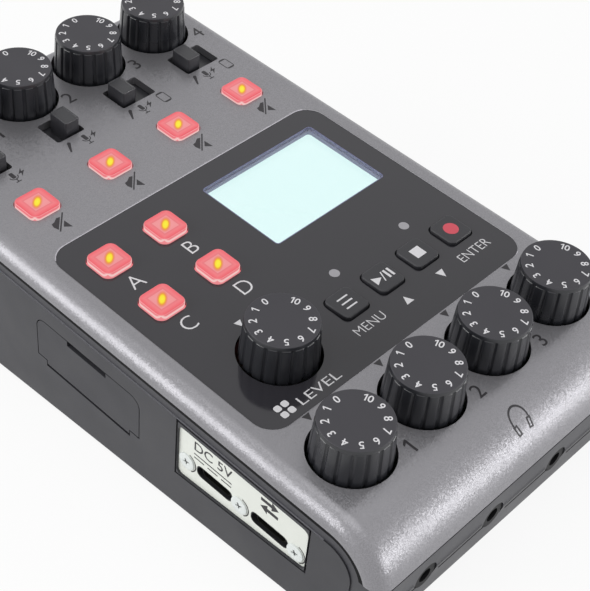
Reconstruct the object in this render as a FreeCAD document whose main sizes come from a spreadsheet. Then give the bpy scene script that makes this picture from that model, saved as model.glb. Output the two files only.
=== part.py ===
import FreeCAD, Part
import os
import re
import Sketcher
from FreeCAD import Placement, Rotation, Vector

# A desktop recorder for four microphones: a wedge-shaped box whose deck tilts towards the user.
# Lengths are millimetres. The finished frame has +X to the user's right, +Y to the rear and +Z up, with the
# origin on the table under the middle of the housing.
# Most pieces are drawn in the deck's own frame: y runs back from the front face, and z is zero on the deck
# and negative inside the housing. That frame is tilted once, when the piece is placed.

os.makedirs("parts", exist_ok=True)
doc = FreeCAD.newDocument("desktop_recorder")
sheet = doc.addObject("Spreadsheet::Sheet", "dims")

# Driving dimensions: name, size, meaning
SIZES = [
    ("body_width", 100.0, "housing, left to right"),
    ("body_depth", 173.0, "housing, front to rear along the deck"),
    ("front_height", 33.9, "deck to underside at the front face"),
    ("deck_tilt", 4.6, "deck against the table, in degrees"),
    ("foot_height", 0.8, "how far the feet stand proud of the underside"),
    ("edge_round", 4.0, "radius along the deck's sides and down the corners"),
    ("rim_height", 4.5, "silver edge below the deck"),
    ("rim_width", 3.0, "silver edge, side to side"),
    ("deck_wall", 2.2, "thickness of the silver deck"),
    ("nose_round", 15.3, "radius of the slope at the front"),
    ("cover_drop", 12.0, "deck to the lower edge of the silver front"),
    ("seam_gap", 0.5, "shadow line under the silver cover"),
    ("seam_depth", 1.2, "how far that line goes in"),
    ("frame_inset", 0.35, "charcoal frame, behind the side of the housing"),
    ("frame_band", 3.2, "height of the charcoal frame at the side"),
    ("frame_wall", 1.6, "thickness of the frame's rails"),
    ("chin_tuck", 2.7, "front face of the lower case, leaning back at the underside"),
    ("front_seam", 19.4, "deck to the split through the headphone sockets"),
    ("case_wall", 2.0, "side walls of the lower case"),
    ("case_floor", 2.4, "floor of the lower case"),
    ("bottom_round", 1.5, "radius round the underside"),
    ("column_pitch", 22.8, "spacing of the four channels"),
    ("phones_row", 24.3, "headphone knobs, back from the front face"),
    ("gain_row", 160.5, "gain knobs, back from the front face"),
    ("mute_row", 125.6, "mute buttons, back from the front face"),
    ("slide_row", 144.4, "input switches, back from the front face"),
    ("panel_front", 37.9, "front edge of the control panel"),
    ("panel_width", 87.7, "control panel"),
    ("panel_depth", 72.8, "control panel"),
    ("panel_corner", 5.5, "control panel"),
    ("panel_thick", 1.2, "control panel"),
    ("panel_sink", 0.25, "panel surface below the deck"),
    ("panel_ledge", 2.5, "width of the ledge that carries the panel"),
    ("fit_gap", 0.15, "all-round clearance of a piece set in an opening"),
    ("screen_width", 38.4, "screen window"),
    ("screen_height", 26.2, "screen window"),
    ("screen_corner", 1.0, "screen window"),
    ("screen_from_right", 6.2, "screen window, in from the panel's right edge"),
    ("screen_from_rear", 6.4, "screen window, in from the panel's rear edge"),
    ("screen_depth", 2.4, "panel surface to the display glass"),
    ("bezel_lip", 0.5, "display frame showing inside the window"),
    ("bezel_width", 1.9, "display frame"),
    ("glass_thick", 2.6, "display module without its frame"),
    ("pad_size", 8.3, "sound pads"),
    ("pad_rise", 1.4, "sound pads above the panel"),
    ("pad_pitch_across", 17.35, "sound pads"),
    ("pad_pitch_along", 17.8, "sound pads"),
    ("pad_front_row", 44.0, "front row of pads, back from the panel's front edge"),
    ("mute_size", 8.6, "mute buttons"),
    ("mute_rise", 0.95, "mute buttons above the deck"),
    ("rubber_corner", 1.8, "corner radius of pads and mute buttons"),
    ("key_size", 7.9, "transport buttons"),
    ("key_rise", 0.9, "transport buttons above the panel"),
    ("key_corner", 1.4, "transport buttons"),
    ("key_pitch", 12.45, "transport buttons"),
    ("key_row", 16.0, "transport buttons, back from the panel's front edge"),
    ("key_round", 0.35, "rounding round the top of every button"),
    ("button_gap", 0.35, "gap round every button"),
    ("button_flange", 0.9, "lip that keeps a button in its opening"),
    ("flange_thick", 0.8, "that lip"),
    ("flange_gap", 0.2, "running gap above that lip"),
    ("press_travel", 0.8, "stroke of every button"),
    ("stem_radius", 1.5, "stem under a button"),
    ("pad_knob_left", 9.0, "pad-level knob, to the right of the first column"),
    ("pad_knob_row", 15.9, "pad-level knob, back from the panel's front edge"),
    ("knob_top", 8.3, "radius of a knob at its top"),
    ("knob_base", 9.3, "radius of a knob at its base"),
    ("knob_height", 9.8, "knob above the deck"),
    ("knob_below", 1.0, "knob below the deck"),
    ("knob_bevel", 0.5, "bevel round a knob's top"),
    ("knob_dish", 0.3, "hollow of a knob's top"),
    ("well_gap", 0.55, "gap between a knob and its hole"),
    ("flute_count", 18.0, "flutes round a knob"),
    ("flute_depth", 0.38, "depth of a flute"),
    ("flute_radius", 2.6, "radius of a flute"),
    ("flute_stop", 0.9, "plain rim above the flutes"),
    ("shaft_radius", 3.0, "potentiometer shaft"),
    ("shaft_play", 0.05, "running clearance round a shaft"),
    ("shaft_stop", 1.2, "shaft end above the board"),
    ("bushing_radius", 3.9, "bushing of a potentiometer"),
    ("pot_width", 9.6, "potentiometer"),
    ("pot_length", 10.8, "potentiometer"),
    ("pot_height", 6.0, "potentiometer"),
    ("board_top", 10.4, "deck to the top of the main board"),
    ("board_thick", 1.6, "both circuit boards"),
    ("board_gap", 1.6, "lower board, in from the walls"),
    ("board_margin", 4.0, "main board, in from the housing's sides"),
    ("board_front", 15.0, "front edge of the main board"),
    ("slot_depth", 8.5, "switch slot, front to rear"),
    ("slot_margin", 0.85, "slot left open beyond a switch cap at each end"),
    ("slot_corner", 0.7, "switch slot"),
    ("slide_step", 2.5, "travel of a switch from one place to the next"),
    ("cap_width", 4.5, "switch cap, left to right"),
    ("cap_depth", 6.5, "switch cap, front to rear"),
    ("cap_rise", 3.6, "switch cap above the deck"),
    ("cap_round", 0.4, "switch cap"),
    ("cap_plate", 0.8, "plate under a switch cap"),
    ("lever_reach", 1.0, "lever into the slide switch"),
    ("lever_width", 1.8, "lever under a switch cap"),
    ("switch_height", 5.0, "slide-switch body on the board"),
    ("tact_size", 6.0, "push switch on the board"),
    ("tact_height", 3.4, "push switch on the board"),
    ("tact_plunger", 0.7, "plunger above a push switch"),
    ("io_top", 21.8, "deck to the top of the lower board"),
    ("io_front", 7.6, "front edge of the lower board"),
    ("io_rear", 100.0, "rear edge of the lower board"),
    ("jack_hole", 3.5, "radius of a headphone opening"),
    ("jack_nozzle", 3.3, "radius of a headphone socket's nose"),
    ("jack_bore", 1.8, "radius of a 3.5 mm socket"),
    ("jack_bore_depth", 14.0, "depth of a 3.5 mm socket"),
    ("jack_length", 12.5, "body of a headphone socket"),
    ("jack_width", 6.4, "body of a headphone socket"),
    ("jack_height", 5.2, "body of a headphone socket"),
    ("jack_sink", 0.3, "socket noses behind the face of the housing"),
    ("phone_row", 46.0, "phone socket on the right side, back from the front face"),
    ("xlr_drop", 28.5, "deck to the middle of the microphone sockets"),
    ("xlr_outer", 10.5, "radius of a microphone socket"),
    ("xlr_bore", 9.7, "radius of the ring that takes the plug's shell"),
    ("xlr_core", 7.8, "radius of the insert with the contacts"),
    ("xlr_length", 25.0, "microphone socket"),
    ("xlr_bore_depth", 14.5, "depth of that ring"),
    ("xlr_pin", 1.3, "radius of a contact"),
    ("xlr_pin_ring", 3.9, "contacts, out from the axis"),
    ("xlr_sink", 0.6, "microphone socket behind the rear wall's face"),
    ("xlr_gap", 0.1, "microphone socket in the rear wall"),
    ("plate_front", 20.2, "front end of the white port plate"),
    ("plate_length", 39.2, "white port plate"),
    ("plate_top", 8.85, "deck to the port plate's top edge"),
    ("plate_above_bottom", 12.5, "port plate above the underside"),
    ("plate_sink", 0.6, "port plate behind the side wall's face"),
    ("plate_gap", 0.5, "dark line round the port plate"),
    ("plate_flange", 1.2, "flange behind the wall, all round"),
    ("plate_flange_thick", 0.8, "that flange"),
    ("port_one", 31.25, "front USB socket"),
    ("port_pitch", 16.75, "spacing of the USB sockets"),
    ("port_length", 11.1, "opening in the port plate"),
    ("port_height", 3.6, "opening in the port plate"),
    ("port_flat", 0.1, "straight part of the port openings' ends"),
    ("card_height", 3.2, "card socket"),
    ("usb_length", 8.94, "USB-C shell"),
    ("usb_height", 3.2, "USB-C shell"),
    ("usb_reach", 7.4, "USB-C shell, front to back"),
    ("usb_wall", 0.3, "USB-C shell"),
    ("usb_corner", 1.4, "USB-C shell"),
    ("door_front", 71.9, "card door"),
    ("door_length", 35.4, "card door"),
    ("door_top", 13.1, "deck to the card door's top edge"),
    ("door_height", 14.3, "card door"),
    ("door_corner", 2.9, "card door"),
    ("door_thick", 1.6, "card door"),
    ("door_gap", 0.25, "line round the card door"),
    ("knuckle_width", 3.2, "hinge knuckle of the case beside the card door's foot"),
    ("knuckle_height", 1.8, "that knuckle, up from the door's lower edge"),
    ("nail_front", 11.2, "fingernail slot, in from the door's front end"),
    ("nail_skin", 0.5, "left behind the fingernail slot"),
    ("nail_length", 13.4, "fingernail slot in the card door"),
    ("nail_height", 1.5, "fingernail slot in the card door"),
    ("pin_radius", 0.5, "hinge pin of the card door"),
    ("pin_length", 1.2, "hinge pin of the card door"),
    ("pin_play", 0.06, "clearance round the hinge pin"),
    ("cell_radius", 7.25, "AA cell"),
    ("cell_length", 50.5, "AA cell"),
    ("cell_room", 0.6, "space round each cell"),
    ("contact_room", 3.2, "space for the contact at each end of a cell"),
    ("bay_row", 112.0, "front of the battery bay"),
    ("bay_wall", 1.2, "walls of the battery bay"),
    ("bay_door_thick", 1.6, "battery cover"),
    ("bay_door_rest", 2.0, "battery cover overlapping the floor all round"),
    ("bay_door_stroke", 4.0, "slide that frees the battery cover"),
    ("contact_thick", 0.5, "battery contact"),
    ("contact_radius", 2.4, "button of a battery contact"),
    ("grip_length", 16.0, "grip grooves of the battery cover"),
    ("grip_width", 1.2, "grip grooves of the battery cover"),
    ("grip_depth", 0.5, "grip grooves of the battery cover"),
    ("power_row", 134.0, "power switch, back from the front face"),
    ("power_drop", 17.0, "deck to the power switch"),
    ("power_slot", 9.0, "slot of the power switch"),
    ("power_slot_height", 4.4, "slot of the power switch"),
    ("power_stroke", 3.0, "stroke of the power switch"),
    ("power_rise", 1.2, "power switch proud of the side"),
    ("foot_radius", 6.0, "rubber foot"),
    ("foot_sink", 0.8, "rubber foot let into the underside"),
    ("foot_edge", 0.3, "rubber foot's rounded edge"),
    ("foot_inset", 14.0, "rubber foot, in from the sides"),
    ("boss_radius", 2.6, "screw boss"),
    ("boss_pilot", 1.0, "hole in a screw boss"),
    ("boss_inset", 8.4, "screw boss, in from the side"),
]
NAMES = {name for name, size, meaning in SIZES}
for row, (name, size, meaning) in enumerate(SIZES, start=1):
    sheet.set(f"A{row}", name)
    sheet.set(f"B{row}", str(size))
    sheet.setAlias(f"B{row}", name)
    sheet.set(f"C{row}", meaning)
doc.recompute()

# Places that several pieces share, as formulas on the driving dimensions
HALF = "body_width / 2"
TAN = "tan(deck_tilt * 1deg)"
SIN = "sin(deck_tilt * 1deg)"
COS = "cos(deck_tilt * 1deg)"
LIP_DROP = "(rim_height + seam_gap)"
FRAME_DROP = f"({LIP_DROP} + frame_band)"
COLUMNS = [f"({i} - 1.5) * column_pitch" for i in range(4)]
PANEL_TOP = "(0 - panel_sink)"
SLIDE_STEPS = (1, 1, 2, 2)
SLIDE_RESTS = (1, 1, -1, -1)
SCREEN_X = "(panel_width / 2 - screen_from_right - screen_width / 2)"
SCREEN_Y = "(panel_front + panel_depth - screen_from_rear - screen_height / 2)"
KEY_XS = [f"1.5 * column_pitch - {3 - i} * key_pitch" for i in range(4)]
KEY_Y = "panel_front + key_row"
PAD_XS = ["(0 - 1.5) * column_pitch", "(0 - 1.5) * column_pitch + pad_pitch_across"]
PAD_YS = ["panel_front + pad_front_row", "panel_front + pad_front_row + pad_pitch_along"]
PAD_PLACES = [(PAD_XS[0], PAD_YS[1]), (PAD_XS[1], PAD_YS[1]), (PAD_XS[0], PAD_YS[0]), (PAD_XS[1], PAD_YS[0])]
PAD_KNOB_X = "(0 - 1.5) * column_pitch + pad_knob_left"
PAD_KNOB_Y = "panel_front + pad_knob_row"
SLOT_WIDTHS = [f"(cap_width + 2 * slot_margin + {steps} * slide_step)" for steps in SLIDE_STEPS]
BAY_WIDTH = "(cell_length + 2 * contact_room)"
BAY_DEPTH = "(4 * cell_radius + 3 * cell_room)"
BAY_HEIGHT = "(2 * cell_radius + cell_room)"
USB_DROP = "(io_top - usb_height / 2)"
CREASE = "(nose_round - sqrt(nose_round ^ 2 - (nose_round - cover_drop) ^ 2))"
CHIN = f"({CREASE} + chin_tuck)"
FRONT_END = f"({CREASE} * {COS} + cover_drop * {SIN})"
REAR_END = f"(body_depth / {COS} + front_height * {SIN})"
MIDDLE = f"(({FRONT_END} + {REAR_END}) / 2)"
JACK_SETBACK = f"({FRAME_DROP} + fit_gap - {CREASE})"
CLEAR = "(body_width + body_depth)"
WELL = "(knob_base + well_gap)"
PORT_ROWS = ["port_one", "port_one + port_pitch"]
SUB_PARTS = []


# Formulas and binding

def formula(text):
    """Point every size's name in a formula at its cell."""
    return re.sub(r"[a-z][a-z_]*", lambda word: "dims." + word.group() if word.group() in NAMES else word.group(), text)


def value(text):
    return float(sheet.evalExpression(formula(text)))


def bind(thing, name, text):
    thing.setExpression(name, formula(text))


def underside(y):
    """Height of the housing's underside in the deck frame."""
    return f"(0 - front_height - ({y}) * {TAN})"


def place_on_deck(piece, x="0", y="0"):
    """Put a piece's own origin on the deck at x, y, square to the deck."""
    piece.Placement = Placement(Vector(0, 0, 0), Rotation(Vector(1, 0, 0), value("deck_tilt")))
    bind(piece, "Placement.Base.x", x)
    bind(piece, "Placement.Base.y", f"({y}) * {COS} - {MIDDLE}")
    bind(piece, "Placement.Base.z", f"foot_height + front_height * {COS} + ({y}) * {SIN}")
    bind(piece, "Placement.Rotation.Angle", "deck_tilt")


def place_on_table(piece, y="0"):
    """Put a level piece's origin at the height of the underside, below the deck's point y."""
    piece.Placement = Placement()
    bind(piece, "Placement.Base.y", f"({y}) / {COS} + front_height * {SIN} - {MIDDLE}")
    bind(piece, "Placement.Base.z", "foot_height")


# Sketches

def new_body(name):
    body = doc.addObject("PartDesign::Body", name)
    body.Label = name
    SUB_PARTS.append(body)
    return body


def plane_sketch(body, role, offset="0"):
    """A sketch on one of the body's own planes, moved along the plane's normal."""
    sketch = body.newObject("Sketcher::SketchObject", body.Label + "_sketch")
    plane = next(feature for feature in body.Origin.OriginFeatures if feature.Role == role)
    sketch.AttachmentSupport = [(plane, "")]
    sketch.MapMode = "FlatFace"
    bind(sketch, "AttachmentOffset.Base.z", offset)
    return sketch


def dimension(sketch, kind, where, text):
    index = sketch.addConstraint(Sketcher.Constraint(kind, *where, value(text)))
    bind(sketch, f"Constraints[{index}]", text)


def lock(sketch, geometry, point, x, y):
    dimension(sketch, "DistanceX", (-1, 1, geometry, point), x)
    dimension(sketch, "DistanceY", (-1, 1, geometry, point), y)


def outline(sketch, corners, arcs=None):
    """A closed outline through corners. arcs holds the radius and the bulge of the side after a corner."""
    arcs = arcs or {}
    points = [Vector(value(x), value(y), 0) for x, y in corners]
    starts = []
    ends = []
    for i, start in enumerate(points):
        end = points[(i + 1) % len(points)]
        forward = True
        if i in arcs:
            radius, bulge = arcs[i]
            across = (end - start).cross(Vector(0, 0, 1)).normalize()
            forward = across.dot(Vector(*bulge, 0)) > 0
            depth = value(radius) - (value(radius) ** 2 - ((end - start).Length / 2) ** 2) ** 0.5
            middle = (start + end) / 2 + across * (depth if forward else -depth)
            arc = Part.Arc(start, middle, end) if forward else Part.Arc(end, middle, start)
            side = sketch.addGeometry(arc)
            dimension(sketch, "Radius", (side,), radius)
        else:
            side = sketch.addGeometry(Part.LineSegment(start, end))
        starts.append((side, 1 if forward else 2))
        ends.append((side, 2 if forward else 1))
    for i, corner in enumerate(corners):
        sketch.addConstraint(Sketcher.Constraint("Coincident", *ends[i - 1], *starts[i]))
        lock(sketch, *starts[i], *corner)


def rounded(sketch, x, y, width, height, corner):
    """A rectangle with rounded corners about x, y."""
    quarter = 1.5707963267948966
    radius = value(corner)
    arcs = []
    for turn, (right, up) in enumerate([(1, 1), (-1, 1), (-1, -1), (1, -1)]):
        centre_x = f"({x}) + {right} * (({width}) / 2 - ({corner}))"
        centre_y = f"({y}) + {up} * (({height}) / 2 - ({corner}))"
        ring = Part.Circle(Vector(value(centre_x), value(centre_y), 0), Vector(0, 0, 1), radius)
        arc = sketch.addGeometry(Part.ArcOfCircle(ring, turn * quarter, (turn + 1) * quarter))
        lock(sketch, arc, 3, centre_x, centre_y)
        arcs.append(arc)
    dimension(sketch, "Radius", (arcs[0],), corner)
    for i, arc in enumerate(arcs):
        after = arcs[(i + 1) % 4]
        line = Part.LineSegment(sketch.Geometry[arc].EndPoint, sketch.Geometry[after].StartPoint)
        side = sketch.addGeometry(line)
        sketch.addConstraint(Sketcher.Constraint("Tangent", arc, 2, side, 1))
        sketch.addConstraint(Sketcher.Constraint("Tangent", side, 2, after, 1))


def rectangle(sketch, x, y, width, height):
    """A plain rectangle about x, y."""
    left = f"({x}) - ({width}) / 2"
    right = f"({x}) + ({width}) / 2"
    low = f"({y}) - ({height}) / 2"
    high = f"({y}) + ({height}) / 2"
    outline(sketch, [(left, low), (right, low), (right, high), (left, high)])


def circle(sketch, x, y, radius):
    ring = Part.Circle(Vector(value(x), value(y), 0), Vector(0, 0, 1), value(radius))
    index = sketch.addGeometry(ring)
    lock(sketch, index, 3, x, y)
    dimension(sketch, "Radius", (index,), radius)


# Features

def pad(body, sketch, length, side="up"):
    """Add material along the sketch's normal, against it or on both sides."""
    feature = body.newObject("PartDesign::Pad", body.Label + "_pad")
    feature.Profile = sketch
    bind(feature, "Length", length)
    feature.Reversed = side == "down"
    if side == "both":
        feature.SideType = "Symmetric"
    doc.recompute()
    return feature


def pocket(body, sketch, length, side="down"):
    """Cut against the sketch's normal, along it or on both sides, and make sure that it cuts."""
    before = body.Shape.Volume
    feature = body.newObject("PartDesign::Pocket", body.Label + "_pocket")
    feature.Profile = sketch
    bind(feature, "Length", length)
    feature.Reversed = side == "up"
    if side == "both":
        feature.SideType = "Symmetric"
    doc.recompute()
    if not body.Shape.Volume < before - 1e-3:
        raise RuntimeError(f"{feature.Label} cuts nothing")
    return feature


def round_edges(body, radius, wanted):
    """Round the edges of the body's last feature that wanted picks by their middle point."""
    base = body.Tip
    names = []
    for number, edge in enumerate(base.Shape.Edges, start=1):
        middle = edge.valueAt((edge.FirstParameter + edge.LastParameter) / 2)
        if wanted(middle, edge):
            names.append(f"Edge{number}")
    feature = body.newObject("PartDesign::Fillet", body.Label + "_fillet")
    feature.Base = (base, names)
    bind(feature, "Radius", radius)
    doc.recompute()
    return feature


def near(a, b):
    return abs(a - b) < 1e-4


def upright(edge):
    """Whether an edge runs straight up and down."""
    if len(edge.Vertexes) != 2:
        return False
    return near(abs((edge.Vertexes[1].Point - edge.Vertexes[0].Point).z), edge.Length)


# Housing: silver cover

def make_top_cover():
    body = new_body("top_cover")
    side = plane_sketch(body, "YZ_Plane")
    inner = "(nose_round - rim_height)"
    inner_crease = f"(nose_round - sqrt({inner} ^ 2 - (nose_round - cover_drop) ^ 2))"
    outline(side, [
        ("nose_round", "0"),
        (CREASE, "0 - cover_drop"),
        (inner_crease, "0 - cover_drop"),
        ("nose_round", "0 - rim_height"),
        ("body_depth", "0 - rim_height"),
        ("body_depth", "0"),
    ], {0: ("nose_round", (-1, 1)), 2: (inner, (-1, 1))})
    pad(body, side, "body_width", "both")
    half = value(HALF)
    depth = value("body_depth")
    nose = value("nose_round")

    def on_the_rim(middle, edge):
        beside = near(abs(middle.x), half)
        on_nose = middle.y < nose and near((middle - Vector(middle.x, nose, -nose)).Length, nose)
        above = near(middle.z, 0) or on_nose
        behind = near(middle.y, depth)
        return (beside and (above or behind and upright(edge))) or (behind and near(middle.z, 0))

    round_edges(body, "edge_round", on_the_rim)
    relief = plane_sketch(body, "XY_Plane", "0 - deck_wall")
    relief_depth = "(body_depth - nose_round - rim_width)"
    rectangle(relief, "0", f"nose_round + {relief_depth} / 2", "body_width - 2 * rim_width", relief_depth)
    pocket(body, relief, CLEAR)
    bosses = plane_sketch(body, "XY_Plane", "0 - deck_wall")
    for x, y in BOSS_PLACES:
        circle(bosses, x, y, "boss_radius")
    pad(body, bosses, "board_top - deck_wall", "down")
    pilots = plane_sketch(body, "XY_Plane", "0 - board_top")
    for x, y in BOSS_PLACES:
        circle(pilots, x, y, "boss_pilot")
    pocket(body, pilots, "board_top - 2 * deck_wall", "up")
    middle = "panel_front + panel_depth / 2"
    recess = plane_sketch(body, "XY_Plane")
    rounded(recess, "0", middle, "panel_width + 2 * fit_gap", "panel_depth + 2 * fit_gap", "panel_corner + fit_gap")
    pocket(body, recess, "panel_sink + panel_thick")
    opening = plane_sketch(body, "XY_Plane")
    rounded(opening, "0", middle, "panel_width - 2 * panel_ledge", "panel_depth - 2 * panel_ledge", "panel_corner")
    pocket(body, opening, "2 * deck_wall")
    wells = plane_sketch(body, "XY_Plane")
    for x in COLUMNS:
        circle(wells, x, "phones_row", WELL)
        circle(wells, x, "gain_row", WELL)
    pocket(body, wells, "2 * rim_height")
    mute_hole = "(mute_size + 2 * button_gap)"
    buttons = plane_sketch(body, "XY_Plane")
    for x in COLUMNS:
        rounded(buttons, x, "mute_row", mute_hole, mute_hole, "rubber_corner + button_gap")
    pocket(body, buttons, "2 * deck_wall")
    slots = plane_sketch(body, "XY_Plane")
    for x, width in zip(COLUMNS, SLOT_WIDTHS):
        rounded(slots, x, "slide_row", width, "slot_depth", "slot_corner")
    pocket(body, slots, "2 * deck_wall")
    place_on_deck(body)


BOSS_ROWS = ["panel_front - boss_radius", "panel_front + panel_depth + boss_radius"]
BOSS_PLACES = [(f"{side} * (body_width / 2 - boss_inset)", y) for side in (-1, 1) for y in BOSS_ROWS]
BOSS_PLACES.append(("0", "slide_row + slot_depth / 2 + slot_margin + flange_gap + boss_radius"))


# Housing: charcoal frame between the cover and the case

def frame_outline(sketch, top, face, rear, strip_top):
    """Side view of the frame: a band under the deck that follows the nose and ends in a strip at the front."""
    high = f"(nose_round - ({top}))"
    low = f"(nose_round - {FRAME_DROP})"
    outline(sketch, [
        ("nose_round", f"0 - ({top})"),
        (f"nose_round - sqrt({high} ^ 2 - (nose_round - ({strip_top})) ^ 2)", f"0 - ({strip_top})"),
        (face, f"0 - ({strip_top})"),
        (face, "0 - front_seam"),
        (FRAME_DROP, "0 - front_seam"),
        (FRAME_DROP, "0 - nose_round"),
        ("nose_round", f"0 - {FRAME_DROP}"),
        (rear, f"0 - {FRAME_DROP}"),
        (rear, f"0 - ({top})"),
    ], {0: (high, (-1, 1)), 5: (low, (-1, 1))})


def make_mid_frame():
    body = new_body("mid_frame")
    outer = plane_sketch(body, "YZ_Plane")
    frame_outline(outer, LIP_DROP, CREASE, "body_depth - frame_inset", "cover_drop + seam_gap")
    pad(body, outer, "body_width - 2 * frame_inset", "both")
    front = value(CREASE)
    rear = value("body_depth - frame_inset")
    round_edges(body, "edge_round", lambda middle, edge: upright(edge) and (near(middle.y, front)
                                                                            or near(middle.y, rear)))
    lip = plane_sketch(body, "YZ_Plane")
    frame_outline(lip, "rim_height", "edge_round", "body_depth - edge_round", "cover_drop")
    pad(body, lip, "body_width - 2 * edge_round", "both")
    middle = plane_sketch(body, "XY_Plane")
    room_depth = f"(body_depth - edge_round - frame_wall - {FRAME_DROP})"
    rectangle(middle, "0", f"{FRAME_DROP} + {room_depth} / 2", "body_width - 2 * edge_round - 2 * frame_wall",
              room_depth)
    pocket(body, middle, CLEAR, "both")
    sockets = plane_sketch(body, "XZ_Plane")
    for x in COLUMNS:
        circle(sockets, x, "0 - front_seam", "jack_hole")
    pocket(body, sockets, "4 * nose_round", "both")
    place_on_deck(body)


# Housing: lower case

HINGE_X = f"door_thick / 2 - {HALF}"
HINGE_Z = "door_thick / 2 - door_top - door_height"
FOOT_HALF = "(door_length / 2 - knuckle_width)"
KNUCKLE_SWEEP = "(sqrt((door_thick / 2) ^ 2 + (knuckle_height - door_thick / 2 - door_gap) ^ 2) + door_gap)"
FOOT_ROWS = ["foot_inset", f"(body_depth * {COS} - foot_inset)"]
FOOT_PLACES = [(f"{side} * ({HALF} - foot_inset)", y) for side in (-1, 1) for y in FOOT_ROWS]
BAY_MIDDLE = f"{BAY_DEPTH} / 2"


def make_lower_case():
    body = new_body("lower_case")
    side = plane_sketch(body, "YZ_Plane")
    outline(side, [
        ("nose_round", f"0 - {FRAME_DROP}"),
        (FRAME_DROP, "0 - nose_round"),
        (FRAME_DROP, "0 - front_seam"),
        (CREASE, "0 - front_seam"),
        (CHIN, underside(CHIN)),
        ("body_depth", underside("body_depth")),
        ("body_depth", f"0 - {FRAME_DROP}"),
    ], {0: (f"nose_round - {FRAME_DROP}", (-1, 1))})
    pad(body, side, "body_width", "both")
    depth = value("body_depth")
    seam = value("0 - front_seam")

    def corner_edges(middle, edge):
        if not near(abs(middle.x), value(HALF)):
            return False
        leaning = middle.y < value(CHIN) and middle.z < seam and edge.Length > 2
        return leaning or (upright(edge) and near(middle.y, depth))

    round_edges(body, "edge_round", corner_edges)
    round_edges(body, "bottom_round", lambda middle, edge: near(middle.z, value(underside(str(middle.y)))))
    hollow = plane_sketch(body, "YZ_Plane")
    outline(hollow, [
        (f"{CREASE} + case_wall", "0"),
        (f"{CREASE} + case_wall", "0 - front_seam"),
        (f"{CHIN} + case_wall", underside(f"{CHIN} + case_wall") + " + case_floor"),
        ("body_depth - case_wall", underside("body_depth - case_wall") + " + case_floor"),
        ("body_depth - case_wall", "0"),
    ])
    pocket(body, hollow, "body_width - 2 * case_wall", "both")
    add_battery_bay(body)
    add_case_posts(body)
    cut_case_openings(body)
    place_on_deck(body)


def level_sketch(body, y):
    """A sketch level with the table whose origin is on the underside, below the deck's point y."""
    sketch = plane_sketch(body, "XY_Plane")
    sketch.AttachmentOffset = Placement(Vector(0, 0, 0), Rotation(Vector(-1, 0, 0), value("deck_tilt")))
    bind(sketch, "AttachmentOffset.Rotation.Angle", "deck_tilt")
    bind(sketch, "AttachmentOffset.Base.y", y)
    bind(sketch, "AttachmentOffset.Base.z", underside(y))
    return sketch


def add_battery_bay(body):
    """A tub for two cells, side by side, open through the floor."""
    walls = level_sketch(body, "bay_row")
    rectangle(walls, "0", BAY_MIDDLE, f"{BAY_WIDTH} + 2 * bay_wall", f"{BAY_DEPTH} + 2 * bay_wall")
    pad(body, walls, f"bay_door_thick + {BAY_HEIGHT} + bay_wall")
    inside = level_sketch(body, "bay_row")
    rectangle(inside, "0", BAY_MIDDLE, BAY_WIDTH, BAY_DEPTH)
    pocket(body, inside, f"bay_door_thick + {BAY_HEIGHT}", "up")
    rest = level_sketch(body, "bay_row")
    rounded(rest, "0", f"{BAY_MIDDLE} + bay_door_stroke / 2", f"{BAY_WIDTH} + 2 * bay_door_rest + 2 * fit_gap",
            f"{BAY_DEPTH} + 2 * bay_door_rest + bay_door_stroke + 2 * fit_gap", "bay_door_rest")
    pocket(body, rest, "bay_door_thick + fit_gap / 2", "up")


def add_case_posts(body):
    """Posts under the lower board, from its underside into the floor."""
    for y in ("(io_rear - 2 * boss_radius)", "(io_front + 6 * boss_radius)"):
        posts = plane_sketch(body, "XY_Plane", "0 - io_top - board_thick")
        for side in (-1, 1):
            circle(posts, f"{side} * (body_width / 2 - 3 * boss_radius)", y, "boss_radius")
        pad(body, posts, f"front_height + {y} * {TAN} - io_top - board_thick - case_floor / 2", "down")


def cut_case_openings(body):
    ports = plane_sketch(body, "YZ_Plane", f"0 - {HALF}")
    plate_outline(ports, "plate_gap", f"({FRAME_DROP} - plate_gap)")
    pocket(body, ports, "3 * case_wall", "both")
    door = plane_sketch(body, "YZ_Plane", f"0 - {HALF}")
    door_outline(door, "door_front + door_length / 2", "0 - door_top - door_height", "door_gap")
    pocket(body, door, "3 * case_wall", "both")
    pins = plane_sketch(body, "XZ_Plane", "0 - door_front - door_length / 2")
    circle(pins, HINGE_X, HINGE_Z, "pin_radius + pin_play")
    pocket(body, pins, f"2 * {FOOT_HALF} + 2 * pin_length + 4 * door_gap", "both")
    fronts = plane_sketch(body, "XZ_Plane")
    for x in COLUMNS:
        circle(fronts, x, "0 - front_seam", "jack_hole")
    pocket(body, fronts, "4 * nose_round", "both")
    rears = plane_sketch(body, "XZ_Plane", "0 - body_depth")
    for x in COLUMNS:
        circle(rears, x, "0 - xlr_drop", "xlr_outer + xlr_gap")
    pocket(body, rears, "4 * case_wall", "both")
    right = plane_sketch(body, "YZ_Plane", HALF)
    circle(right, "phone_row", "jack_height / 2 - io_top", "jack_hole")
    rounded(right, "power_row", "0 - power_drop", "power_slot", "power_slot_height", "slot_corner")
    pocket(body, right, "3 * case_wall", "both")
    feet = level_sketch(body, "0")
    for x, y in FOOT_PLACES:
        circle(feet, x, y, "foot_radius + fit_gap")
    pocket(body, feet, "foot_sink", "up")


def plate_outline(sketch, grow, top):
    """The port plate from the side: its top follows the deck and its bottom follows the underside."""
    front = f"(plate_front - ({grow}))"
    rear = f"(plate_front + plate_length + ({grow}))"
    outline(sketch, [
        (front, f"{underside(front)} + plate_above_bottom - ({grow})"),
        (rear, f"{underside(rear)} + plate_above_bottom - ({grow})"),
        (rear, f"0 - {top}"),
        (front, f"0 - {top}"),
    ])


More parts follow.
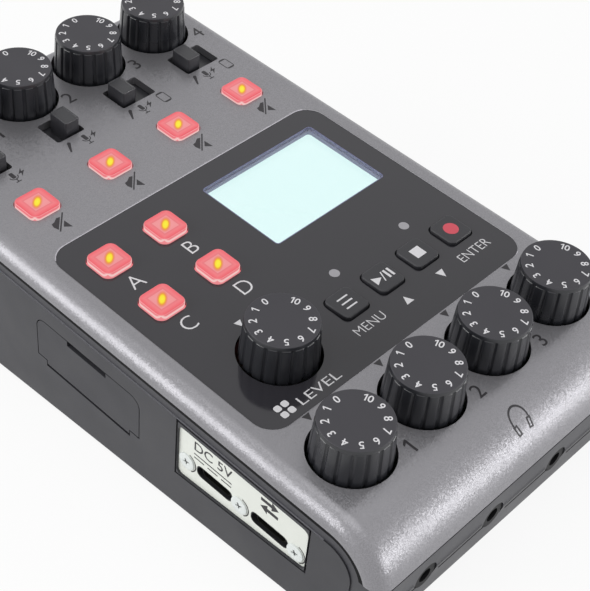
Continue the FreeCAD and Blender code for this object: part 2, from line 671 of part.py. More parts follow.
def door_outline(sketch, middle, bottom, grow):
    """The card door from the side: round at the top, with a narrower foot that turns between two knuckles."""
    foot = f"({FOOT_HALF} + ({grow}))"
    half = f"(door_length / 2 + ({grow}))"
    low = f"(({bottom}) - ({grow}))"
    shoulder = f"(({bottom}) + knuckle_height - ({grow}))"
    high = f"(({bottom}) + door_height + ({grow}))"
    corner = f"(door_corner + ({grow}))"
    outline(sketch, [
        (f"({middle}) - {foot}", low),
        (f"({middle}) + {foot}", low),
        (f"({middle}) + {foot}", shoulder),
        (f"({middle}) + {half}", shoulder),
        (f"({middle}) + {half}", f"{high} - {corner}"),
        (f"({middle}) + {half} - {corner}", high),
        (f"({middle}) - {half} + {corner}", high),
        (f"({middle}) - {half}", f"{high} - {corner}"),
        (f"({middle}) - {half}", shoulder),
        (f"({middle}) - {foot}", shoulder),
    ], {4: (corner, (1, 1)), 6: (corner, (-1, 1))})


# Control panel and screen

def make_control_panel():
    body = new_body("control_panel")
    plate = plane_sketch(body, "XY_Plane", PANEL_TOP)
    rounded(plate, "0", "panel_front + panel_depth / 2", "panel_width", "panel_depth", "panel_corner")
    pad(body, plate, "panel_thick", "down")
    openings = plane_sketch(body, "XY_Plane", PANEL_TOP)
    pad_hole = "(pad_size + 2 * button_gap)"
    for x, y in PAD_PLACES:
        rounded(openings, x, y, pad_hole, pad_hole, "rubber_corner + button_gap")
    key_hole = "(key_size + 2 * button_gap)"
    for x in KEY_XS:
        rounded(openings, x, KEY_Y, key_hole, key_hole, "key_corner + button_gap")
    rounded(openings, SCREEN_X, SCREEN_Y, "screen_width", "screen_height", "screen_corner")
    circle(openings, PAD_KNOB_X, PAD_KNOB_Y, WELL)
    pocket(body, openings, "2 * panel_thick")
    place_on_deck(body)


def make_screen_window():
    """The clear pane in the panel's opening."""
    body = new_body("screen_window")
    pane = plane_sketch(body, "XY_Plane", PANEL_TOP)
    rounded(pane, "0", "0", "screen_width - 2 * shaft_play", "screen_height - 2 * shaft_play", "screen_corner")
    pad(body, pane, "panel_thick", "down")
    place_on_deck(body, SCREEN_X, SCREEN_Y)


def make_display_module():
    body = new_body("display_module")
    wide = "screen_width + 2 * bezel_width"
    high = "screen_height + 2 * bezel_width"
    glass = plane_sketch(body, "XY_Plane", "0 - panel_sink - screen_depth")
    rectangle(glass, "0", "0", wide, high)
    pad(body, glass, "glass_thick", "down")
    bezel = plane_sketch(body, "XY_Plane", "0 - panel_sink - screen_depth")
    rectangle(bezel, "0", "0", wide, high)
    rounded(bezel, "0", "0", "screen_width - 2 * bezel_lip", "screen_height - 2 * bezel_lip", "screen_corner")
    pad(body, bezel, "screen_depth - panel_thick")
    legs = plane_sketch(body, "XY_Plane", "0 - board_top")
    for across in (-1, 1):
        for along in (-1, 1):
            rectangle(legs, f"{across} * screen_width / 2", f"{along} * screen_height / 2", "bezel_width",
                      "bezel_width")
    pad(body, legs, "board_top - panel_sink - screen_depth - glass_thick / 2")
    place_on_deck(body, SCREEN_X, SCREEN_Y)


# Buttons

def make_button(name, x, y, size, corner, rise, sink, wall):
    """A button that stands by rise above a surface. sink is the surface's depth below the deck, and wall is
    the thickness of the plate that the button comes through."""
    body = new_body(name)
    top = f"(({rise}) - ({sink}))"
    flange_top = f"(0 - ({sink}) - ({wall}) - flange_gap)"
    cap = plane_sketch(body, "XY_Plane", top)
    rounded(cap, "0", "0", size, size, corner)
    pad(body, cap, f"{top} - {flange_top}", "down")
    face = value(top)
    round_edges(body, "key_round", lambda middle, edge: near(middle.z, face))
    flange = plane_sketch(body, "XY_Plane", flange_top)
    rounded(flange, "0", "0", f"{size} + 2 * button_flange", f"{size} + 2 * button_flange", corner)
    pad(body, flange, "flange_thick", "down")
    stem = plane_sketch(body, "XY_Plane", flange_top)
    circle(stem, "0", "0", "stem_radius")
    stem_bottom = "(board_top - tact_height - tact_plunger - press_travel - flange_gap)"
    pad(body, stem, f"{stem_bottom} + {flange_top}", "down")
    place_on_deck(body, x, y)


# Knobs and potentiometers

def make_knob(name, x, y):
    body = new_body(name)
    side = plane_sketch(body, "XZ_Plane")
    outline(side, [
        ("0", "0 - knob_below"),
        ("knob_base", "0 - knob_below"),
        ("knob_top", "knob_height - knob_bevel"),
        ("knob_top - knob_bevel", "knob_height"),
        ("knob_top - 2 * knob_bevel", "knob_height"),
        ("knob_top - 3 * knob_bevel", "knob_height - knob_dish"),
        ("0", "knob_height - knob_dish"),
    ])
    turned = body.newObject("PartDesign::Revolution", name + "_turned")
    turned.Profile = side
    turned.ReferenceAxis = (side, ["V_Axis"])
    turned.Angle = 360
    doc.recompute()
    before = body.Shape.Volume
    low = plane_sketch(body, "XY_Plane", "0 - knob_below")
    circle(low, "knob_base - flute_depth + flute_radius", "0", "flute_radius")
    high = plane_sketch(body, "XY_Plane", "knob_height - flute_stop")
    narrowing = "((knob_base - knob_top) / (knob_height - knob_bevel + knob_below))"
    radius = f"(knob_base - {narrowing} * (knob_height - flute_stop + knob_below))"
    circle(high, f"{radius} - flute_depth + flute_radius", "0", "flute_radius")
    flute = body.newObject("PartDesign::SubtractiveLoft", name + "_flute")
    flute.Profile = low
    flute.Sections = [high]
    flute.Ruled = True
    doc.recompute()
    ring = body.newObject("PartDesign::PolarPattern", name + "_flutes")
    ring.Originals = [flute]
    ring.Axis = (side, ["V_Axis"])
    ring.Angle = 360
    bind(ring, "Occurrences", "flute_count")
    body.Tip = ring
    doc.recompute()
    if not ring.Shape.Volume < before - 1:
        raise RuntimeError("the flutes cut nothing")
    shaft = plane_sketch(body, "XY_Plane", "0 - knob_below")
    circle(shaft, "0", "0", "shaft_radius")
    pad(body, shaft, "board_top - knob_below - shaft_stop", "down")
    place_on_deck(body, x, y)


def make_pot(name, x, y):
    body = new_body(name)
    case = plane_sketch(body, "XY_Plane", "0 - board_top")
    rectangle(case, "0", "0", "pot_width", "pot_length")
    pad(body, case, "pot_height")
    bushing = plane_sketch(body, "XY_Plane", "pot_height - board_top")
    circle(bushing, "0", "0", "bushing_radius")
    pad(body, bushing, "board_top - pot_height - deck_wall - fit_gap")
    bore = plane_sketch(body, "XY_Plane", "0 - deck_wall - fit_gap")
    circle(bore, "0", "0", "shaft_radius + shaft_play")
    pocket(body, bore, "board_top - deck_wall - fit_gap - shaft_stop / 2")
    place_on_deck(body, x, y)


# Input switches

def make_slide_cap(name, x, y, steps, rest):
    """A switch cap at one end of its slot: rest is 1 for the right end and -1 for the left."""
    body = new_body(name)
    under = "(deck_wall + flange_gap)"
    cap = plane_sketch(body, "XY_Plane", "cap_rise")
    rectangle(cap, "0", "0", "cap_width", "cap_depth")
    pad(body, cap, f"cap_rise + {under}", "down")
    top = value("cap_rise")
    round_edges(body, "cap_round", lambda middle, edge: near(middle.z, top) or upright(edge))
    plate = plane_sketch(body, "XY_Plane", f"0 - {under}")
    rectangle(plate, "0", "0", f"cap_width + 3 * slot_margin + 2 * {steps} * slide_step",
              "slot_depth + 2 * slot_margin")
    pad(body, plate, "cap_plate", "down")
    lever = plane_sketch(body, "XY_Plane", f"0 - {under}")
    rectangle(lever, "0", "0", "lever_width", "lever_width")
    pad(body, lever, f"board_top - switch_height - {under} + lever_reach", "down")
    place_on_deck(body, f"({x}) + {rest * steps} * slide_step / 2", y)


# Circuit boards

def make_main_board():
    body = new_body("main_board")
    board = plane_sketch(body, "XY_Plane", "0 - board_top")
    depth = "(body_depth - board_front - board_margin - rim_width)"
    rectangle(board, "0", f"board_front + {depth} / 2", "body_width - 2 * board_margin - 2 * rim_width", depth)
    pad(body, board, "board_thick", "down")
    taps = plane_sketch(body, "XY_Plane", "0 - board_top")
    plungers = plane_sketch(body, "XY_Plane", "tact_height - board_top")
    for x, y in [(x, "mute_row") for x in COLUMNS] + PAD_PLACES + [(x, KEY_Y) for x in KEY_XS]:
        rectangle(taps, x, y, "tact_size", "tact_size")
        circle(plungers, x, y, "stem_radius")
    pad(body, taps, "tact_height")
    pad(body, plungers, "tact_plunger")
    switches = plane_sketch(body, "XY_Plane", "0 - board_top")
    levers = plane_sketch(body, "XY_Plane", "switch_height - board_top")
    for x, steps in zip(COLUMNS, SLIDE_STEPS):
        rectangle(switches, x, "slide_row", f"cap_width + 2 * lever_width + {steps} * slide_step", "tact_size")
        rectangle(levers, x, "slide_row", f"lever_width + 2 * button_gap + {steps} * slide_step",
                  "lever_width + 2 * button_gap")
    pad(body, switches, "switch_height")
    pocket(body, levers, "2 * lever_reach")
    place_on_deck(body)


def make_io_board():
    body = new_body("io_board")
    board = plane_sketch(body, "XY_Plane", "0 - io_top")
    rectangle(board, "0", "(io_front + io_rear) / 2", "body_width - 2 * case_wall - 2 * board_gap",
              "io_rear - io_front")
    pad(body, board, "board_thick", "down")
    notches = plane_sketch(body, "XY_Plane", "0 - io_top")
    for x in COLUMNS:
        rectangle(notches, x, "io_front", "jack_width + 2 * fit_gap",
                  f"2 * ({FRAME_DROP} + jack_length + 2 * fit_gap - io_front)")
    rectangle(notches, "body_width / 2", "phone_row",
              "2 * (case_wall + fit_gap + jack_length + fit_gap)", "jack_width + 2 * fit_gap")
    pocket(body, notches, "2 * board_thick", "both")
    card = plane_sketch(body, "XY_Plane", "0 - io_top")
    card_size = "(door_length - 2 * door_corner)"
    rectangle(card, f"{card_size} / 2 + board_gap + case_wall - {HALF}", "door_front + door_length / 2", card_size,
              card_size)
    pad(body, card, "card_height")
    mouth = plane_sketch(body, "YZ_Plane", f"board_gap + case_wall - {HALF}")
    rectangle(mouth, "door_front + door_length / 2", "card_height / 2 - io_top", f"{card_size} - 2 * board_thick",
              "card_height / 2")
    pocket(body, mouth, f"{card_size} - board_thick", "up")
    place_on_deck(body)


# Sockets

def place_in_deck(piece, x, y, z):
    """Put a piece's own origin at a point of the deck's frame, square to the deck."""
    place_on_deck(piece, x, y)
    bind(piece, "Placement.Base.y", f"({y}) * {COS} - ({z}) * {SIN} - {MIDDLE}")
    bind(piece, "Placement.Base.z", f"foot_height + front_height * {COS} + ({y}) * {SIN} + ({z}) * {COS}")


def make_phones_jack(name, x):
    """A 3.5 mm socket whose nose shows in the front face. Its own origin is its mouth."""
    body = new_body(name)
    block = plane_sketch(body, "XZ_Plane", f"0 - {JACK_SETBACK}")
    rectangle(block, "0", "0", "jack_width", "jack_height")
    pad(body, block, "jack_length", "down")
    nose = plane_sketch(body, "XZ_Plane", "0 - jack_sink")
    circle(nose, "0", "0", "jack_nozzle")
    pad(body, nose, f"{JACK_SETBACK} - jack_sink", "down")
    bore = plane_sketch(body, "XZ_Plane", "0 - jack_sink")
    circle(bore, "0", "0", "jack_bore")
    pocket(body, bore, "jack_bore_depth")
    place_in_deck(body, x, CREASE, "0 - front_seam")


def make_phone_jack():
    """The 3.5 mm socket for a phone, in the right side."""
    body = new_body("phone_jack")
    block = plane_sketch(body, "YZ_Plane", "0 - case_wall - fit_gap")
    rectangle(block, "0", "0", "jack_width", "jack_height")
    pad(body, block, "jack_length", "down")
    nose = plane_sketch(body, "YZ_Plane", "0 - jack_sink")
    circle(nose, "0", "0", "jack_nozzle")
    pad(body, nose, "case_wall + fit_gap - jack_sink", "down")
    bore = plane_sketch(body, "YZ_Plane", "0 - jack_sink")
    circle(bore, "0", "0", "jack_bore")
    pocket(body, bore, "jack_length")
    place_in_deck(body, HALF, "phone_row", "jack_height / 2 - io_top")


def make_xlr(name, x):
    """A microphone socket in the rear wall. Its own origin is the middle of its mouth."""
    body = new_body(name)
    barrel = plane_sketch(body, "XZ_Plane", "xlr_sink")
    circle(barrel, "0", "0", "xlr_outer")
    pad(body, barrel, "xlr_length")
    ring = plane_sketch(body, "XZ_Plane", "xlr_sink")
    circle(ring, "0", "0", "xlr_bore")
    circle(ring, "0", "0", "xlr_core")
    pocket(body, ring, "xlr_bore_depth", "up")
    core = plane_sketch(body, "XZ_Plane", "xlr_sink")
    for turn in (90, 210, 330):
        circle(core, f"xlr_pin_ring * cos({turn} * 1deg)", f"xlr_pin_ring * sin({turn} * 1deg)", "xlr_pin")
    pocket(body, core, "xlr_bore_depth", "up")
    place_in_deck(body, x, "body_depth", "0 - xlr_drop")


def make_port_plate():
    body = new_body("port_plate")
    face = plane_sketch(body, "YZ_Plane", f"plate_sink - {HALF}")
    plate_outline(face, "0", "plate_top")
    pad(body, face, "case_wall - plate_sink + plate_flange_thick")
    flange = plane_sketch(body, "YZ_Plane", f"case_wall - {HALF}")
    plate_outline(flange, "plate_gap + plate_flange", "plate_top")
    pad(body, flange, "plate_flange_thick")
    ports = plane_sketch(body, "YZ_Plane", f"0 - {HALF}")
    for y in PORT_ROWS:
        rounded(ports, y, f"0 - {USB_DROP}", "port_length", "port_height", "port_height / 2 - port_flat")
    pocket(body, ports, "4 * case_wall", "both")
    place_on_deck(body)


def make_usb(name, y):
    """A USB-C socket on the lower board. Its own origin is the middle of its mouth."""
    body = new_body(name)
    shell = plane_sketch(body, "YZ_Plane")
    rounded(shell, "0", "0", "usb_length", "usb_height", "usb_corner")
    pad(body, shell, "usb_reach")
    inner_length = "(usb_length - 2 * usb_wall)"
    inner_height = "(usb_height - 2 * usb_wall)"
    inside = plane_sketch(body, "YZ_Plane")
    rounded(inside, "0", "0", inner_length, inner_height, "usb_corner - usb_wall")
    pocket(body, inside, "usb_reach - 2 * usb_wall", "up")
    tongue = plane_sketch(body, "YZ_Plane", "2 * usb_wall")
    rectangle(tongue, "0", "0", f"{inner_length} - 4 * usb_wall", "2 * usb_wall")
    pad(body, tongue, "usb_reach - 3 * usb_wall")
    place_in_deck(body, f"plate_sink + plate_flange_thick - {HALF}", y, f"0 - {USB_DROP}")


# Card door, battery cover, power switch and feet

def make_card_door():
    """The flap over the card slot. Its own origin is the middle of its hinge line.

    Beside its foot the leaf is hollowed round the hinge line, so that it swings over the case's knuckles.
    """
    body = new_body("card_door")
    half = "(door_thick / 2)"
    leaf = plane_sketch(body, "XZ_Plane")
    rectangle(leaf, "0", f"(door_height - {half}) / 2", "door_thick", f"door_height - {half}")
    pad(body, leaf, "door_length", "both")
    hollow = plane_sketch(body, "XZ_Plane")
    circle(hollow, "0", "0", KNUCKLE_SWEEP)
    pocket(body, hollow, "2 * door_length", "both")
    foot = plane_sketch(body, "XZ_Plane")
    rectangle(foot, "0", f"{KNUCKLE_SWEEP} / 2", "door_thick", KNUCKLE_SWEEP)
    pad(body, foot, f"2 * {FOOT_HALF}", "both")
    bead = plane_sketch(body, "XZ_Plane")
    circle(bead, "0", "0", half)
    pad(body, bead, f"2 * {FOOT_HALF}", "both")
    ends = plane_sketch(body, "YZ_Plane")
    rectangle(ends, "0", f"door_height / 2 - {half}", "2 * door_length", "2 * door_height")
    door_outline(ends, "0", f"0 - {half}", "0")
    pocket(body, ends, "2 * door_thick", "both")
    nail = plane_sketch(body, "YZ_Plane", f"0 - {half}")
    rectangle(nail, "nail_front + nail_length / 2 - door_length / 2", f"door_height - {half} - nail_height / 2",
              "nail_length", "nail_height")
    pocket(body, nail, "door_thick - nail_skin", "up")
    pins = plane_sketch(body, "XZ_Plane")
    circle(pins, "0", "0", "pin_radius")
    pad(body, pins, f"2 * {FOOT_HALF} + 2 * door_gap + 2 * pin_length", "both")
    place_in_deck(body, HINGE_X, "door_front + door_length / 2", HINGE_Z)


def make_battery_cover():
    body = new_body("battery_cover")
    plate = plane_sketch(body, "XY_Plane")
    rounded(plate, "0", BAY_MIDDLE, f"{BAY_WIDTH} + 2 * bay_door_rest", f"{BAY_DEPTH} + 2 * bay_door_rest",
            "bay_door_rest")
    pad(body, plate, "bay_door_thick")
    grips = plane_sketch(body, "XY_Plane")
    for i in range(4):
        rectangle(grips, "0", f"{BAY_MIDDLE} + {i - 1.5} * 2 * grip_width", "grip_length", "grip_width")
    pocket(body, grips, "grip_depth", "up")
    place_on_table(body, "bay_row")


def make_battery_contacts():
    """Two strips for each end of the bay, each with a button that the cells press on."""
    body = new_body("battery_contacts")
    body.AllowCompound = True
    for side, direction in ((-1, "up"), (1, "down")):
        strips = plane_sketch(body, "YZ_Plane", f"{side} * ({BAY_WIDTH} / 2)")
        buttons = plane_sketch(body, "YZ_Plane", f"{side} * ({BAY_WIDTH} / 2)")
        for cell in (0, 1):
            y = f"(cell_room + cell_radius + {cell} * (2 * cell_radius + cell_room))"
            z = "(bay_door_thick + cell_radius + cell_room / 2)"
            rectangle(strips, y, z, "cell_radius * 1.4", "cell_radius * 1.4")
            circle(buttons, y, z, "contact_radius")
        pad(body, strips, "contact_thick", direction)
        pad(body, buttons, "contact_room - cell_room", direction)
    place_on_table(body, "bay_row")


def make_power_switch():
    """The slider in the right side, at the front end of its slot. Its own origin is on the wall's face."""
    body = new_body("power_switch")
    nub = plane_sketch(body, "YZ_Plane", "power_rise")
    nub_length = "(power_slot - power_stroke - 2 * fit_gap)"
    nub_height = "(power_slot_height - 2 * fit_gap)"
    rounded(nub, "0", "0", nub_length, nub_height, "slot_corner")
    pad(body, nub, "power_rise + case_wall + flange_gap", "down")
    face = value("power_rise")
    round_edges(body, "key_round", lambda middle, edge: near(middle.x, face))
    plate = plane_sketch(body, "YZ_Plane", "0 - case_wall - flange_gap")
    rectangle(plate, "0", "0", f"{nub_length} + 2 * power_stroke + 2 * button_flange",
              f"{nub_height} + 2 * button_flange")
    pad(body, plate, "cap_plate", "down")
    place_in_deck(body, HALF, "power_row - power_stroke / 2", "0 - power_drop")


def make_feet():
    body = new_body("feet")
    body.AllowCompound = True
    discs = plane_sketch(body, "XY_Plane", "foot_sink")
    for x, y in FOOT_PLACES:
        circle(discs, x, y, "foot_radius")
    pad(body, discs, "foot_sink + foot_height", "down")
    round_edges(body, "foot_edge", lambda middle, edge: near(middle.z, value("0 - foot_height")))
    place_on_table(body)


# Assembly

make_top_cover()
make_mid_frame()
make_lower_case()
make_control_panel()
make_screen_window()
make_display_module()
make_port_plate()
make_main_board()
make_io_board()
for channel, x in enumerate(COLUMNS, start=1):
    make_xlr(f"xlr_{channel}", x)
    make_phones_jack(f"phones_jack_{channel}", x)
    make_pot(f"pot_gain_{channel}", x, "gain_row")
    make_pot(f"pot_phones_{channel}", x, "phones_row")
    make_knob(f"knob_gain_{channel}", x, "gain_row")
    make_knob(f"knob_phones_{channel}", x, "phones_row")
    make_button(f"mute_{channel}", x, "mute_row", "mute_size", "rubber_corner", "mute_rise", "0", "deck_wall")
    make_slide_cap(f"switch_{channel}", x, "slide_row", SLIDE_STEPS[channel - 1], SLIDE_RESTS[channel - 1])
make_phone_jack()
for name, y in zip(("usb_power", "usb_data"), PORT_ROWS[::-1]):
    make_usb(name, y)
make_pot("pot_pads", PAD_KNOB_X, PAD_KNOB_Y)
make_knob("knob_pads", PAD_KNOB_X, PAD_KNOB_Y)
for letter, (x, y) in zip("abcd", PAD_PLACES):
    make_button(f"pad_{letter}", x, y, "pad_size", "rubber_corner", "pad_rise", "panel_sink", "panel_thick")
for name, x in zip(("menu", "play", "stop", "record"), KEY_XS):
    make_button(f"button_{name}", x, KEY_Y, "key_size", "key_corner", "key_rise", "panel_sink", "panel_thick")
make_card_door()
make_battery_cover()
make_battery_contacts()
make_power_switch()
make_feet()

doc.recompute()
for thing in doc.Objects:
    if "Invalid" in thing.State or "Error" in thing.State:
        raise RuntimeError(f"{thing.Label} failed: {thing.State}")
for piece in SUB_PARTS:
    if piece.Shape.isNull() or not piece.Shape.isValid() or piece.Shape.Volume <= 0:
        raise RuntimeError(f"{piece.Label} has no valid solid")
for piece in SUB_PARTS:
    piece.Shape.exportStep(f"parts/{piece.Label}.step")
print(len(SUB_PARTS), "sub-parts written")
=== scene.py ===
# %% [markdown]
# # A desktop recorder, dressed over its frame
#
# The recorder is a wedge-shaped box with four channels, nine fluted knobs, eight lit rubber buttons and a
# small screen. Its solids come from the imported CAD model, in metres, standing on the floor at Z = 0.
# This lesson puts finer pieces over those solids and gives each surface the plastic, paint, rubber or
# metal that it has on the real thing.

# %% Load the fixed frame
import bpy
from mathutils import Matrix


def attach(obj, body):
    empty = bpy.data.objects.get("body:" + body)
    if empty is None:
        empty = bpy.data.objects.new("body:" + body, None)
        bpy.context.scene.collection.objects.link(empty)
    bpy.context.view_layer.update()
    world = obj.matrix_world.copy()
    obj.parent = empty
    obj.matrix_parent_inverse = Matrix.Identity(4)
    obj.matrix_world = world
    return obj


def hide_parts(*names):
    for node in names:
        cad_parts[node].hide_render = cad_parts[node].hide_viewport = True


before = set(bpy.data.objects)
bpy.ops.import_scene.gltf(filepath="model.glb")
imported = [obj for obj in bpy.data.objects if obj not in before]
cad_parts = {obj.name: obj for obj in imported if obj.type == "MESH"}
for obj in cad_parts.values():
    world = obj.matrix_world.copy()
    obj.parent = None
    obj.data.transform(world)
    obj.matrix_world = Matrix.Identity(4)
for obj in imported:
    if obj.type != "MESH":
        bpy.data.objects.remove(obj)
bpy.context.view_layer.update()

import math
import bpy
import bmesh
from mathutils import Matrix, Vector

# %% [markdown]
# ## The deck's own frame
#
# Nearly everything to be modelled sits on the sloping deck, so it is easier to work in millimetres on a
# flat drawing of that deck: x to the right, y back from the front face, z up from the silver surface.
# One matrix then lifts a finished piece from that drawing to its place in metres. The slope and the front
# height are the CAD model's own. The four channels share their columns, and each kind of control has its row.

# %% From the deck drawing to the room
TILT = math.radians(4.6)
FRONT_HEIGHT = 33.9
FOOT = 0.8
MIDDLE = 88.8
LIFT = Vector((0, -MIDDLE, FOOT + FRONT_HEIGHT * math.cos(TILT)))
DECK = Matrix.Scale(0.001, 4) @ Matrix.Translation(LIFT) @ Matrix.Rotation(TILT, 4, "X")
COLUMNS = [-34.2, -11.4, 11.4, 34.2]
PHONES_ROW, MUTE_ROW, SWITCH_ROW, GAIN_ROW = 24.3, 125.6, 144.4, 160.5
PANEL = -0.25
print("deck at the front edge:", DECK @ Vector((0, 0, 0)))

# %% [markdown]
# ## The camera
#
# The photograph looks down at the front left corner from about 40 cm, with a long lens. The place, the
# angles and the lens were worked out from the corners of the control panel and the columns of buttons.
# The lens is not shifted, so every other view stays framed on the recorder.

# %% Camera
CAMERA_ANGLES = (48.3028, -1.2983, -46.3503)
bpy.ops.object.camera_add(location=(-0.192884, -0.192879, 0.260419))
camera = bpy.context.object
camera.rotation_euler = [math.radians(angle) for angle in CAMERA_ANGLES]
camera.data.sensor_width = 36
camera.data.lens = 88.807
camera.data.clip_start = 0.01
bpy.context.scene.camera = camera
bpy.context.scene.view_settings.view_transform = "Standard"
print("camera looks down by", round(90 - CAMERA_ANGLES[0]), "degrees")

# %% [markdown]
# ## Small helpers for modelling by hand
#
# A Blender operator acts on whatever is selected. So each step first clears the selection, and in edit
# mode the faces or edges to be shaped are picked in code, by where they are or which way they point.

# %% Selection
def alone(piece):
    """Select this piece and nothing else."""
    bpy.ops.object.select_all(action="DESELECT")
    piece.select_set(True)
    bpy.context.view_layer.objects.active = piece
    return piece


def pick(piece, kind, wanted):
    """In edit mode, select the vertices, edges or faces that wanted picks."""
    shape = bmesh.from_edit_mesh(piece.data)
    bpy.ops.mesh.select_all(action="DESELECT")
    bpy.ops.mesh.select_mode(type={"verts": "VERT", "edges": "EDGE", "faces": "FACE"}[kind])
    for part in getattr(shape, kind):
        part.select_set(bool(wanted(part)))
    shape.select_flush_mode()
    bmesh.update_edit_mesh(piece.data)


def finish_modifier(piece, kind, **settings):
    """Add one modifier with its settings and apply it."""
    alone(piece)
    modifier = piece.modifiers.new(kind.lower(), kind)
    for name, value in settings.items():
        setattr(modifier, name, value)
    bpy.ops.object.modifier_apply(modifier=modifier.name)


def join(pieces, name):
    """Make several pieces one."""
    alone(pieces[0])
    for piece in pieces:
        piece.select_set(True)
    if len(pieces) > 1:
        bpy.ops.object.join()
    pieces[0].name = name
    return pieces[0]


# %% [markdown]
# ## Putting a piece in its place
#
# A piece is modelled at the middle of the drawing and then settled: its place goes into its mesh, its
# object stays at the origin, it is told which moving body it rides on, and which plain CAD node it
# stands for. Copies get a mesh of their own.

# %% Settle and copy
def settle(piece, body, stands_for=(), place=DECK):
    """Lift a piece from the deck drawing to the room and let it ride on a body."""
    alone(piece)
    bpy.ops.object.transform_apply(location=True, rotation=True, scale=True)
    piece.data.transform(place)
    piece.data.update()
    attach(piece, body)
    if stands_for:
        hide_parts(*stands_for)
    return piece


def moved(piece, x, y, z=0.0, turn=0.0):
    """Turn a piece about the vertical and move it, in its mesh."""
    piece.data.transform(Matrix.Translation((x, y, z)) @ Matrix.Rotation(turn, 4, "Z"))
    return piece


def another(piece, name, x=0.0, y=0.0):
    """A copy of a piece, with its own mesh, in another place."""
    twin = piece.copy()
    twin.data = piece.data.copy()
    twin.name = name
    bpy.context.collection.objects.link(twin)
    return moved(twin, x, y)


def put_away(piece):
    """Remove a pattern piece once its copies are made."""
    bpy.data.objects.remove(piece, do_unlink=True)


# %% [markdown]
# ## Materials from nodes
#
# Colours are written as they look on a screen, in hex, and one function turns them into the linear
# values that the shader works with. A pattern needs two or more shades of one colour to vary between.

# %% Colours
def linear(colour):
    """The shader's colour for an sRGB hex colour."""
    parts = [int(colour[i:i + 2], 16) / 255 for i in (1, 3, 5)]
    return (*[p / 12.92 if p <= 0.04045 else ((p + 0.055) / 1.055) ** 2.4 for p in parts], 1)


def shades(colour, *factors):
    """A hex colour made darker or paler by each factor."""
    return [[part * factor for part in linear(colour)[:3]] + [1] for factor in factors]


# %% [markdown]
# A material is a network of nodes. It could be put together from ready-made groups, but plain nodes show
# what each step does. One small function adds a node, sets it up and links it. Nearly all of a noise lies
# between 0.3 and 0.7, so where a finish needs its whole range, those two are its ends.

# %% Nodes
def add(material, kind, inputs=None, **settings):
    """One node with its settings. An input is a value, or another node's output to link."""
    made = material.node_tree.nodes.new(kind)
    for name, value in settings.items():
        setattr(made, name, value)
    for name, value in (inputs or {}).items():
        if isinstance(value, bpy.types.NodeSocket):
            material.node_tree.links.new(value, made.inputs[name])
        else:
            made.inputs[name].default_value = value
    return made


NOISE_ENDS = {"From Min": 0.3, "From Max": 0.7}


def new_material(name):
    """An empty material, and the object's own coordinates in metres."""
    material = bpy.data.materials.new(name)
    material.use_nodes = True
    material.node_tree.nodes.clear()
    return material, add(material, "ShaderNodeTexCoord").outputs["Object"]


def wear(piece, *materials):
    """Give a piece these materials, in the order of its slots."""
    for i, material in enumerate(materials):
        if i < len(piece.material_slots):
            piece.material_slots[i].material = material
        else:
            piece.data.materials.append(material)
    return piece


# %% [markdown]
# ## Moulded plastic
#
# The case, knobs, buttons and sockets are injection-moulded plastic, mostly ABS. The mould is lightly
# sand-blasted, which leaves a fine grain: the colour hardly changes, but the gloss is broken up into a
# soft sheen. The grain is about a tenth of a millimetre on the real thing and is drawn a little coarser so
# that it shows. A second cloud, 14 mm wide, stands for the way that moulding and handling vary the gloss.

# %% Moulded plastic
CLOUD, UNEVEN = 14, 0.05


def moulded_plastic(name, colour, roughness, grain=0.25, relief=0.012, spread=0.06, shine=0.5):
    """ABS from a lightly blasted mould: grain and relief are in millimetres."""
    material, where = new_material(name)
    fine = add(material, "ShaderNodeTexNoise", {"Vector": where, "Scale": 1000 / grain, "Detail": 3.0})
    wide = add(material, "ShaderNodeTexNoise", {"Vector": where, "Scale": 1000 / CLOUD, "Detail": 2.0})
    low, high = shades(colour, 1 - spread, 1 + spread)
    tint = add(material, "ShaderNodeMixRGB", {"Fac": fine.outputs["Fac"], "Color1": low, "Color2": high})
    gloss = add(material, "ShaderNodeMapRange", {
        "Value": wide.outputs["Fac"], **NOISE_ENDS,
        "To Min": roughness - UNEVEN, "To Max": roughness + UNEVEN})
    bump = add(material, "ShaderNodeBump", {"Height": fine.outputs["Fac"], "Distance": relief / 1000,
                                            "Strength": 1.0})
    shader = add(material, "ShaderNodeBsdfPrincipled", {
        "Base Color": tint.outputs["Color"], "Roughness": gloss.outputs["Result"],
        "Normal": bump.outputs["Normal"], "IOR": 1.53, "Specular IOR Level": shine})
    add(material, "ShaderNodeOutputMaterial", {"Surface": shader.outputs["BSDF"]})
    return material


# %% [markdown]
# The same recipe serves every moulding, with its own colour, gloss and grain. Soft rubber and nylon are
# the mattest and the knobs' sides the glossiest. Enamel and lacquer lie thinly over a moulding or a board and
# keep some of its grain, so they are made in the same way with less relief.

# %% Plastics of the recorder
CASE_PLASTIC = moulded_plastic("case_blasted_abs", "#2a2a2f", 0.52, grain=0.3, relief=0.02, spread=0.1)
FRAME_PLASTIC = moulded_plastic("frame_blasted_abs", "#323237", 0.5, grain=0.3, relief=0.018, spread=0.1)
DOOR_PLASTIC = moulded_plastic("door_soft_rubber", "#2c2c31", 0.58, grain=0.22, relief=0.02, spread=0.12)
KNOB_TOP_ABS = moulded_plastic("knob_top_matt_abs", "#38373c", 0.55, grain=0.2, relief=0.012, shine=0.35)
KNOB_SIDE_ABS = moulded_plastic("knob_side_satin_abs", "#222327", 0.3, grain=0.3, relief=0.006)
KEY_RUBBER = moulded_plastic("key_matt_rubber", "#202025", 0.5, grain=0.2, relief=0.01)
CAP_PLASTIC = moulded_plastic("switch_cap_satin_abs", "#2b2b2f", 0.38, grain=0.25, relief=0.01)
JACK_NYLON = moulded_plastic("jack_black_nylon", "#101012", 0.6, grain=0.3, relief=0.01, shine=0.2)
# The same black also serves as painted shade on the left of the panel's recess.
BLACK_NYLON_AND_SHADE = moulded_plastic("black_nylon_and_painted_shade", "#1b1c1f", 0.42, grain=0.3, relief=0.01)
